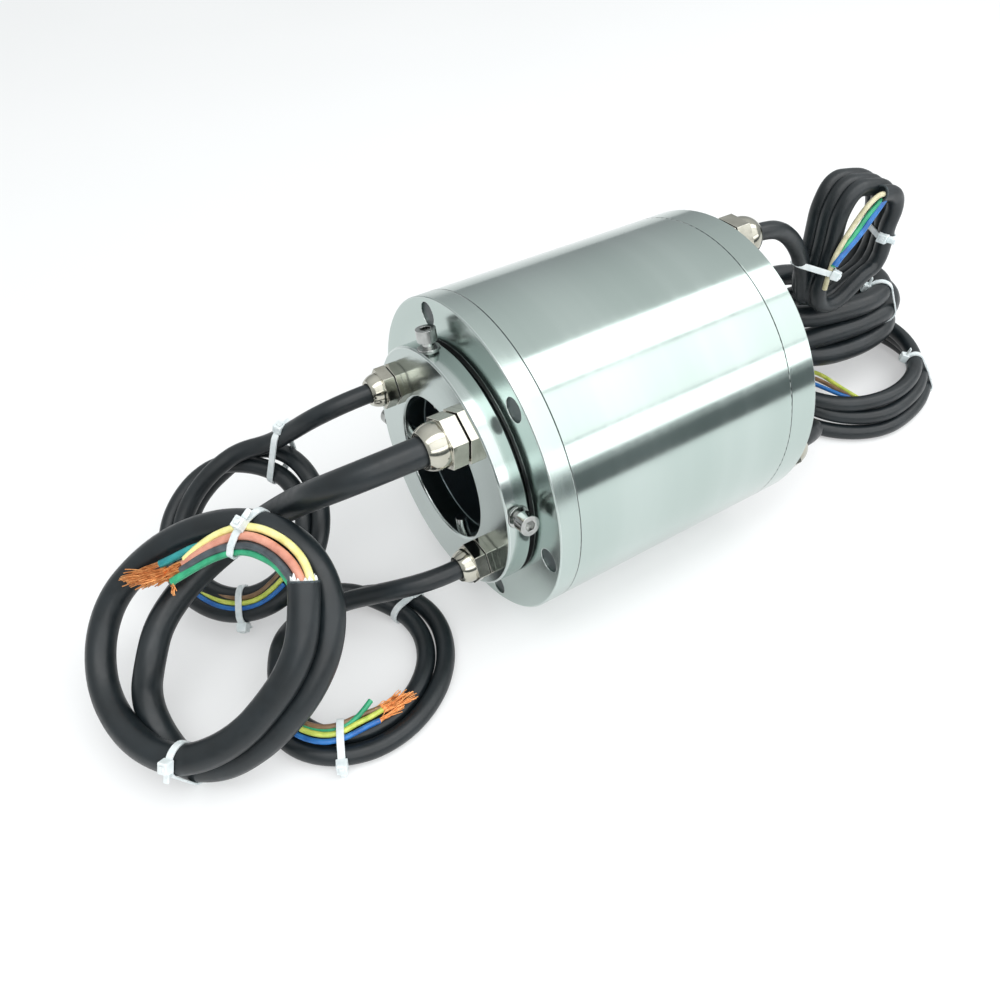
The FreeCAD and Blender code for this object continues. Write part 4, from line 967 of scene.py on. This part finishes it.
@dataclass
class Cable:
    """One laid cable with its stripped cores and copper. Lengths are in mm."""

    plan: CablePlan
    finisher: Finisher
    cord_rings: int = 6
    core_rings: int = 4
    wire_rings: int = 1
    wire_radius: float = 0.28
    wire_aside: float = 0.5
    wire_curl: float = 0.6
    wire_reach: tuple[float, float] = (0.75, 1.1)
    wire_stations: tuple[float, float, float, float] = (-0.08, 0.15, 0.5, 0.8)
    wire_fans: tuple[float, float] = (0.35, 0.75)
    mouth_steps: int = 40
    mouth: tuple[tuple[float, float], ...] = (
        (-0.6, 0.98), (0.15, 1.015), (0.5, 0.98), (0.4, 0.8), (-0.2, 0.72), (-0.6, 0.7),
    )

    def control_points(self) -> list[Vector]:
        """Work out the cord's control points: its run, then its coil's turns by small steps.

        Returns:
            The points in metres.
        """
        plan = self.plan
        points = metres(plan.route)
        first, last = plan.turns[0][0], plan.turns[-1][0]
        count = max(1, round(abs(last - first) / plan.step))
        swell = 1 / math.cos(math.radians(plan.step / 2))
        for k in range(count + 1):
            angle = first + (last - first) * k / count
            radius, height = eased(plan.turns, angle)
            points.append(plan.plane.at(angle, radius * swell, height))
        return points

    def make_cores(self) -> list[bpy.types.Object]:
        """Make the stripped cores, each a thin insulated wire.

        Returns:
            The cores.
        """
        plan, out = self.plan, []
        for k, core in enumerate(plan.cores):
            line = [plan.plane.at(*row) for row in core.turns]
            piece = new_curve(f"cable_{plan.number}_core_{k + 1}", [line], core.radius * MM,
                              self.core_rings)
            self.finisher.dress(piece, core.finish)
            out.append(piece)
        return out

    def wire(self, chance: random.Random, start: Vector, along: Vector,
             spread: float) -> list[Vector]:
        """Draw one bare wire of a tuft.

        Args:
            chance: The tuft's own random numbers.
            start: Where the tuft starts, in metres.
            along: The way to its end, in metres.
            spread: How far the wires fan out, in mm.

        Returns:
            The wire's control points in metres.
        """
        aside = Vector([chance.gauss(0, 1) for _ in range(3)]) * self.wire_aside * MM
        fan = Vector([chance.gauss(0, 1) for _ in range(3)]) * spread * MM
        curl = Vector([chance.gauss(0, 1) for _ in range(3)]) * self.wire_curl * MM
        reach = chance.uniform(*self.wire_reach)
        root, neck, middle, far = self.wire_stations
        near_fan, far_fan = self.wire_fans
        return [start + aside + along * root, start + aside + along * neck,
                start + aside + along * middle * reach + fan * near_fan + curl,
                start + along * far * reach + fan * far_fan - curl / 2,
                start + along * reach + fan]

    def make_copper(self) -> list[bpy.types.Object]:
        """Make the frayed copper, one piece of many fine wires for each tuft.

        Returns:
            The tufts.
        """
        plan, out = self.plan, []
        for k, tuft in enumerate(plan.tufts):
            chance = random.Random(100 * plan.number + k)
            start, end = plan.plane.at(*tuft.start), plan.plane.at(*tuft.end)
            lines = [self.wire(chance, start, end - start, tuft.spread)
                     for _ in range(tuft.wires)]
            piece = new_curve(f"cable_{plan.number}_copper_{k + 1}", lines,
                              self.wire_radius * MM, self.wire_rings)
            self.finisher.dress(piece, COPPER)
            out.append(piece)
        return out

    def make_mouth(self, line: list[Vector]) -> bpy.types.Object:
        """Make the cut rim of the jacket at the cord's end.

        Args:
            line: The cord's own centreline.

        Returns:
            The rim piece.
        """
        radius = self.plan.diameter / 2 * MM
        along = (line[-1] - line[-3]).normalized()
        profile = [(place * MM, radius * share) for place, share in self.mouth]
        piece = lathe(f"cable_{self.plan.number}_mouth", profile, line[-1], along,
                      self.mouth_steps)
        self.finisher.dress(piece, JACKET_CUT)
        return piece

    def make_filler(self, line: list[Vector], shreds: Shreds) -> bpy.types.Object:
        """Make the white paper shreds that stick out of the cut jacket.

        Args:
            line: The cord's own centreline.
            shreds: Their sizes.

        Returns:
            The shreds, one piece.
        """
        chance = random.Random(shreds.seed)
        radius = self.plan.diameter / 2 * MM
        along = (line[-1] - line[-3]).normalized()
        side = along.orthogonal().normalized()
        other = along.cross(side)
        lines = []
        for k in range(shreds.count):
            turn = 2 * math.pi * k / shreds.count + chance.uniform(-shreds.swing, shreds.swing)
            out = side * math.cos(turn) + other * math.sin(turn)
            reach = chance.uniform(*shreds.reach) * MM
            foot = line[-1] + out * radius * shreds.seat - along * shreds.depth * MM
            lines.append([foot, foot + along * reach / 2 + out * shreds.lean * MM,
                          foot + along * reach + out * chance.uniform(*shreds.tip) * MM])
        piece = new_curve(f"cable_{self.plan.number}_filler", lines, shreds.radius * MM,
                          shreds.rings)
        for spline in piece.data.splines:
            for point, share in zip(spline.points, shreds.taper):
                point.radius = share
        self.finisher.dress(piece, FILLER)
        return piece

    def build(self) -> tuple[bpy.types.Object, list[bpy.types.Object]]:
        """Returns:
            The cord and its cores.
        """
        plan = self.plan
        cord = new_curve(f"cable_{plan.number}", [self.control_points()],
                         plan.diameter / 2 * MM, self.cord_rings)
        self.finisher.dress(cord, JACKET)
        line = centreline(cord)
        cores = self.make_cores()
        extras = [self.make_mouth(line), *cores, *self.make_copper()]
        if plan.filler:
            extras.append(self.make_filler(line, plan.filler))
        for piece in (cord, *extras):
            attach(piece, plan.body)
        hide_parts(f"cable_{plan.number}_tube", f"cable_{plan.number}_coil")
        log.info("cable %d: %.3f m along its spline", plan.number, run_length(line))
        return cord, cores


# Ties


@dataclass(frozen=True)
class TiePlan:
    """One cable tie: the coil it holds, where it crosses, and the side its head is on."""

    cables: tuple[int, ...]
    middle: Point
    across: Point
    head: Point
    reach: float


@dataclass
class CableTie:
    """A nylon tie drawn round every strand that passes its place."""

    number: int
    plan: TiePlan
    body: str
    lines: list[Strand]
    finisher: Finisher
    width: float = 3.6 * MM
    thick: float = 1.1 * MM
    slack: float = 0.15 * MM
    steps: int = 96
    band_round: float = 0.25 * MM
    band_round_steps: int = 2
    floor_share: float = 0.1
    head_half: tuple[float, float] = (3.2, 2.9)
    head_height: float = 5.0
    head_draft: float = 0.86
    head_round: float = 0.55 * MM
    head_round_steps: int = 3
    pawl_half: tuple[float, float] = (1.5, 1.5)
    pawl_seat: float = 4.6
    pawl_height: float = 1.0
    tail_half: tuple[float, float] = (0.6, 1.7)
    tail_seat: tuple[float, float] = (1.6, 3.0)
    tail: float = 5.0
    draft: float = 0.9

    def crossings(self) -> list[tuple[Vector, float]]:
        """Find where each strand passes the tie's plane.

        Returns:
            The centre and radius of each strand there, in metres.
        """
        middle, facing = Vector(self.plan.middle) * MM, Vector(self.plan.across).normalized()
        found = []
        for line, radius in self.lines:
            for a, b in zip(line, line[1:]):
                near, far = (a - middle).dot(facing), (b - middle).dot(facing)
                if near * far <= 0 and near != far:
                    at = a.lerp(b, near / (near - far))
                    if (at - middle).length < self.plan.reach * MM:
                        found.append((at, radius))
        return found

    def hull_point(self, strands: list[tuple[Vector, float]], way: Vector, extra: float) -> Vector:
        """Find the point of the band furthest one way.

        Args:
            strands: Strand centres and radii.
            way: The direction, in the tie's plane.
            extra: How far outside the strands the band is there.

        Returns:
            The point in metres.
        """
        centre, radius = max(strands, key=lambda s: s[0].dot(way) + s[1])
        point = centre + way * (radius + extra)
        point.z = max(point.z, (FLOOR_Z + FLOOR_GAP) * MM + extra * self.floor_share)
        return point

    def build(self) -> list[bpy.types.Object]:
        """Make the band with its head and cut tail.

        Returns:
            The tie's pieces.
        """
        facing = Vector(self.plan.across).normalized()
        side = facing.orthogonal().normalized()
        other = facing.cross(side)
        strands = self.crossings()
        if not strands:
            raise ValueError(f"tie {self.number} holds no strand")
        log.info("tie %d holds %d strands", self.number, len(strands))
        shape = bmesh.new()
        rings = []
        for k in range(self.steps):
            turn = 2 * math.pi * k / self.steps
            way = side * math.cos(turn) + other * math.sin(turn)
            inner = self.hull_point(strands, way, self.slack)
            outer = self.hull_point(strands, way, self.slack + self.thick)
            half = facing * self.width / 2
            rings.append([shape.verts.new(p) for p in
                          (inner - half, outer - half, outer + half, inner + half)])
        for first, second in zip(rings, rings[1:] + rings[:1]):
            for k in range(4):
                nxt = (k + 1) % 4
                shape.faces.new((first[k], first[nxt], second[nxt], second[k]))
        band = new_mesh(f"tie_{self.number}_band", shape)
        soften(band, self.band_round, self.band_round_steps)
        head = self.make_head(strands, facing)
        for piece in (band, head):
            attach(piece, self.body)
            self.finisher.dress(piece, NYLON)
        return [band, head]

    def make_head(self, strands: list[tuple[Vector, float]], facing: Vector) -> bpy.types.Object:
        """Make the ratchet head with its pawl and the tail stub through it.

        Args:
            strands: Strand centres and radii.
            facing: Normal of the tie's plane.

        Returns:
            The head piece.
        """
        out = Vector(self.plan.head)
        out = (out - facing * out.dot(facing)).normalized()
        along = facing.cross(out)
        base = self.hull_point(strands, out, self.slack)
        shape = bmesh.new()
        self.block(shape, base, (along, facing, out), self.head_half, self.head_height,
                   self.head_draft)
        self.block(shape, base + out * self.pawl_seat * MM, (along, facing, out), self.pawl_half,
                   self.pawl_height, self.draft)
        stub = base + out * self.tail_seat[0] * MM + along * self.tail_seat[1] * MM
        self.block(shape, stub, (out, facing, along), self.tail_half, self.tail, self.draft)
        for vert in shape.verts:
            vert.co.z = max(vert.co.z, (FLOOR_Z + FLOOR_GAP) * MM)
        head = new_mesh(f"tie_{self.number}_head", shape)
        soften(head, self.head_round, self.head_round_steps)
        return head

    @staticmethod
    def block(shape: bmesh.types.BMesh, base: Vector, axes: tuple[Vector, Vector, Vector],
              half: tuple[float, float], height: float, draft: float) -> None:
        """Add a tapered block to a mesh.

        Args:
            shape: The mesh.
            base: The middle of its foot.
            axes: Its width, depth and height directions.
            half: Half the width and half the depth of its foot in mm.
            height: Its height in mm.
            draft: The size of its top as a share of its foot.
        """
        made = []
        for level, share in ((0.0, 1.0), (height, draft)):
            for sx, sy in ((-1, -1), (1, -1), (1, 1), (-1, 1)):
                made.append(shape.verts.new(
                    base + (axes[0] * sx * half[0] * share + axes[1] * sy * half[1] * share
                            + axes[2] * level) * MM))
        for face in ((0, 3, 2, 1), (4, 5, 6, 7), (0, 1, 5, 4), (1, 2, 6, 5), (2, 3, 7, 6),
                     (3, 0, 4, 7)):
            shape.faces.new([made[k] for k in face])


def coil_tie(cable: CablePlan, angle: float, radius: float, head: tuple[float, float],
             height: float = 0.0, reach: float = 17.0) -> TiePlan:
    """Plan a tie round a coil.

    Args:
        cable: The coil's cable.
        angle: Where on the coil it is, in degrees.
        radius: Distance of the bundle from the coil's centre in mm.
        head: How much the head points outward and upward.
        height: Height of the bundle over the coil's plane in mm.
        reach: How far from the bundle's middle a strand still belongs to it, in mm.

    Returns:
        The plan.
    """
    level, rise, up = cable.plane.axes()
    turn = math.radians(angle)
    out = level * math.cos(turn) + rise * math.sin(turn)
    middle = cable.plane.at(angle, radius, height) / MM
    head_way = out * head[0] + up * head[1]
    return TiePlan((cable.number,), tuple(middle), tuple(up.cross(out)), tuple(head_way), reach)


TIES: tuple[tuple[str, TiePlan], ...] = (
    ("rotor", coil_tie(CABLES[0], 88, 54, (0.3, 1.0), height=4.0, reach=21.0)),
    ("rotor", coil_tie(CABLES[0], -75, 54, (0.2, 1.0))),
    ("rotor", coil_tie(CABLES[1], 75, 44, (0.7, 1.0))),
    ("rotor", coil_tie(CABLES[1], -73, 41, (1.0, 0.1))),
    ("rotor", coil_tie(CABLES[2], 18, 49, (0.25, 1.0))),
    ("rotor", coil_tie(CABLES[2], -116, 46, (1.0, 0.3))),
    ("stator", TiePlan((4,), (263.0, 12.0, 25.0), (0.3, 0.0, 1.0), (0.5, -1.0, 0.0), 22.0)),
    ("stator", TiePlan((4,), (308.0, 8.0, 36.0), (0.2, 0.0, 1.0), (-1.0, -0.4, 0.0), 22.0)),
    ("stator", coil_tie(CABLES[4], -46, 40, (-1.0, 0.2), height=9.0, reach=16.0)),
    ("stator", coil_tie(CABLES[5], -47, 62, (-1.0, 0.2), height=8.0, reach=20.0)),
)


# Glands


@dataclass(frozen=True)
class GlandPlan:
    """A gland: its end of the drum, its body, its axis and the black ring of painted shade in its
    neck, in mm.
    """

    side: str
    number: int
    body: str
    seat: tuple[float, float]
    outward: float
    radius: float
    gap: float


@dataclass
class GlandNeckShade:
    """A black ring put in the gap between a gland's hexagon and its cap nut, as painted shade of that
    gap.
    """

    plan: GlandPlan
    finisher: Finisher
    inset: float = 0.02 * MM
    root: float = 0.86
    waist: float = 0.93
    crown: float = 0.96
    steps: int = 64

    def build(self) -> bpy.types.Object:
        """Make the ring.

        Returns:
            The ring piece.
        """
        plan = self.plan
        low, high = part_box(f"{plan.side}_gland_{plan.number}_nut")
        start = high[0] if plan.outward < 0 else low[0]
        base = Vector((start, plan.seat[0] * MM, plan.seat[1] * MM))
        rim, gap = plan.radius * MM, plan.gap * MM
        profile = [(self.inset, rim * self.root), (self.inset, rim * self.waist),
                   (gap / 2, rim * self.crown), (gap - self.inset, rim * self.waist),
                   (gap - self.inset, rim * self.root)]
        ring = lathe(f"{plan.side}_gland_{plan.number}_neck_shade", profile, base,
                     Vector((-plan.outward, 0, 0)), self.steps)
        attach(ring, plan.body)
        # Painted shade: the neck ring takes the black rubber finish so that the gap reads dark.
        self.finisher.dress(ring, SEAL)
        return ring


GLANDS: tuple[GlandPlan, ...] = (
    GlandPlan("front", 1, "rotor", (-26.76, 42.83), -1.0, 12.0, 1.0),
    GlandPlan("front", 2, "rotor", (42.83, 26.76), -1.0, 9.5, 0.7),
    GlandPlan("front", 3, "rotor", (-42.83, -26.76), -1.0, 9.5, 0.7),
    GlandPlan("rear", 1, "stator", (3.66, 69.9), 1.0, 12.0, 1.0),
    GlandPlan("rear", 2, "stator", (58.7, -38.1), 1.0, 12.0, 1.0),
    GlandPlan("rear", 3, "stator", (-62.4, -31.8), 1.0, 12.0, 1.0),
)


# Studio


@dataclass(frozen=True)
class Lamp:
    """A softbox: its middle and what it faces in metres, its length, width and radiance."""

    name: str
    at: Point
    target: Point
    size: tuple[float, float]
    radiance: float


LAMPS: tuple[Lamp, ...] = (
    Lamp("overhead", (0.6, -0.25, 1.15), (0.6, -0.25, 0.0), (3.4, 0.5), 2.3),
    Lamp("fill", (0.6, -0.88, 0.95), (0.6, 0.0, 0.03), (3.4, 0.8), 1.25),
    Lamp("strip", (0.63, -1.15, 0.45), (0.63, 0.0, 0.03), (3.4, 0.3), 2.3),
)
FLOOR_PAPER = Finish("floor_paper", (0.83, 0.845, 0.85), (0.86, 0.87, 0.875), 0.7, 0.9,
                     patch_scale=1.2, grain_scale=900.0, grain_height=0.00001)
CARD_GREY = Finish("card_grey", (0.13, 0.145, 0.15), (0.15, 0.165, 0.17), 0.8, 0.95,
                   patch_scale=2.0, grain_scale=300.0)
ROOM_BELOW = (0.40, 0.42, 0.43, 1)
ROOM_ABOVE = (0.98, 1.0, 1.0, 1)


@dataclass
class Studio:
    """Camera, floor, card and lamps. The eye is in mm, the floor and the card in metres."""

    eye: Point = (-167.118, -294.097, 308.644)
    gaze: Point = (0.38036, 0.59366, -0.70915)
    lens: float = 31.807
    sensor: float = 36.0
    clip: tuple[float, float] = (0.01, 60.0)
    half_floor: float = 9.0
    floor_squares: int = 8
    floor_lift: float = 0.35
    card_ends: tuple[float, float] = (-2.2, 3.2)
    card_away: float = -1.05
    card_foot: float = 0.002
    card_top: float = 0.17

    def make_camera(self) -> None:
        """Place the camera that the photograph was taken with."""
        data = bpy.data.cameras.new("camera")
        data.sensor_width = self.sensor
        data.lens = self.lens
        data.clip_start, data.clip_end = self.clip
        camera = bpy.data.objects.new("camera", data)
        camera.location = Vector(self.eye) * MM
        camera.rotation_mode = "QUATERNION"
        camera.rotation_quaternion = Vector(self.gaze).to_track_quat("-Z", "Y")
        bpy.context.scene.collection.objects.link(camera)
        bpy.context.scene.camera = camera

    def make_floor(self, finisher: Finisher) -> None:
        """Lay the pale floor that the object stands on.

        Args:
            finisher: Makes the floor's material.
        """
        shape = bmesh.new()
        bmesh.ops.create_grid(shape, x_segments=self.floor_squares,
                              y_segments=self.floor_squares, size=self.half_floor)
        for vert in shape.verts:
            vert.co.z = FLOOR_Z * MM
        floor = new_mesh("floor", shape)
        finisher.dress(floor, FLOOR_PAPER)
        self.lift_floor(floor.active_material)

    def lift_floor(self, material: bpy.types.Material) -> None:
        """Mix some plain white into the floor where it is seen, so that its shadows stay pale.

        Args:
            material: The floor's material.
        """
        tree = material.node_tree
        path = tree.nodes.new("ShaderNodeLightPath")
        seen = path.outputs["Is Camera Ray"]
        for name in ("Is Glossy Ray", "Is Transmission Ray"):
            either = tree.nodes.new("ShaderNodeMath")
            either.operation = "MAXIMUM"
            tree.links.new(seen, either.inputs[0])
            tree.links.new(path.outputs[name], either.inputs[1])
            seen = either.outputs[0]
        share = tree.nodes.new("ShaderNodeMath")
        share.operation = "MULTIPLY"
        share.inputs[1].default_value = self.floor_lift
        tree.links.new(seen, share.inputs[0])
        white = tree.nodes.new("ShaderNodeEmission")
        white.inputs["Color"].default_value = (1.0, 1.0, 1.0, 1.0)
        white.inputs["Strength"].default_value = 1.0
        both = tree.nodes.new("ShaderNodeMixShader")
        tree.links.new(share.outputs[0], both.inputs[0])
        tree.links.new(tree.nodes["Principled BSDF"].outputs[0], both.inputs[1])
        tree.links.new(white.outputs[0], both.inputs[2])
        tree.links.new(both.outputs[0], tree.nodes["Material Output"].inputs["Surface"])

    def make_card(self, finisher: Finisher) -> None:
        """Stand the grey card beyond the camera that the drum mirrors as its dark band.

        Args:
            finisher: Makes the card's material.
        """
        shape = bmesh.new()
        low, high, away = FLOOR_Z * MM + self.card_foot, self.card_top, self.card_away
        left, right = self.card_ends
        made = [shape.verts.new(place) for place in
                ((left, away, low), (right, away, low), (right, away, high), (left, away, high))]
        shape.faces.new(made)
        card = new_mesh("studio_card", shape)
        finisher.dress(card, CARD_GREY)
        card.visible_camera = False

    def make_world(self) -> None:
        """Fill the room with soft light, brighter overhead."""
        world = bpy.data.worlds.new("room")
        bpy.context.scene.world = world
        world.use_nodes = True
        tree = world.node_tree
        back = tree.nodes["Background"]
        place = tree.nodes.new("ShaderNodeTexCoord")
        split = tree.nodes.new("ShaderNodeSeparateXYZ")
        ramp = tree.nodes.new("ShaderNodeValToRGB")
        tree.links.new(place.outputs["Generated"], split.inputs[0])
        tree.links.new(split.outputs["Z"], ramp.inputs[0])
        tree.links.new(ramp.outputs[0], back.inputs["Color"])
        ramp.color_ramp.elements[0].color = ROOM_BELOW
        ramp.color_ramp.elements[1].color = ROOM_ABOVE
        back.inputs["Strength"].default_value = 1.0

    def make_lamp(self, plan: Lamp) -> None:
        """Hang a softbox.

        Args:
            plan: Where it hangs, how large it is and how bright its face is, where 1 is white.
        """
        data = bpy.data.lights.new(plan.name, "AREA")
        data.shape = "RECTANGLE"
        data.size, data.size_y = plan.size
        data.energy = math.pi * plan.size[0] * plan.size[1] * plan.radiance
        lamp = bpy.data.objects.new(plan.name, data)
        lamp.location = plan.at
        back = (Vector(plan.at) - Vector(plan.target)).normalized()
        length = (Vector((1, 0, 0)) - back * back.x).normalized()
        turned = Matrix((length, back.cross(length), back)).transposed()
        lamp.rotation_mode = "QUATERNION"
        lamp.rotation_quaternion = turned.to_quaternion()
        lamp.visible_camera = False
        bpy.context.scene.collection.objects.link(lamp)

    def build(self, finisher: Finisher) -> None:
        """Set up the whole studio.

        Args:
            finisher: Makes the floor's and the card's materials.
        """
        self.make_camera()
        self.make_floor(finisher)
        self.make_card(finisher)
        self.make_world()
        for plan in LAMPS:
            self.make_lamp(plan)
        bpy.context.scene.view_settings.view_transform = "Standard"


# Main


def main() -> None:
    """Build the whole scene."""
    logging.basicConfig(level=logging.INFO, format="%(message)s")
    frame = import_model()
    finisher = Finisher()
    Studio().build(finisher)
    finisher.dress_frame(frame["nodes"])
    strands: dict[int, list[Strand]] = {}
    for plan in CABLES:
        cord, cores = Cable(plan, finisher).build()
        strands[plan.number] = [(centreline(cord), plan.diameter / 2 * MM)]
        strands[plan.number] += [(centreline(c), c.data.bevel_depth) for c in cores]
    for number, (body, plan) in enumerate(TIES, 1):
        held = [strand for k in plan.cables for strand in strands[k]]
        CableTie(number, plan, body, held, finisher).build()
    for gland in GLANDS:
        ring = GlandNeckShade(gland, finisher).build()
        log.info("made %s", ring.name)


if __name__ == "__main__":
    main()
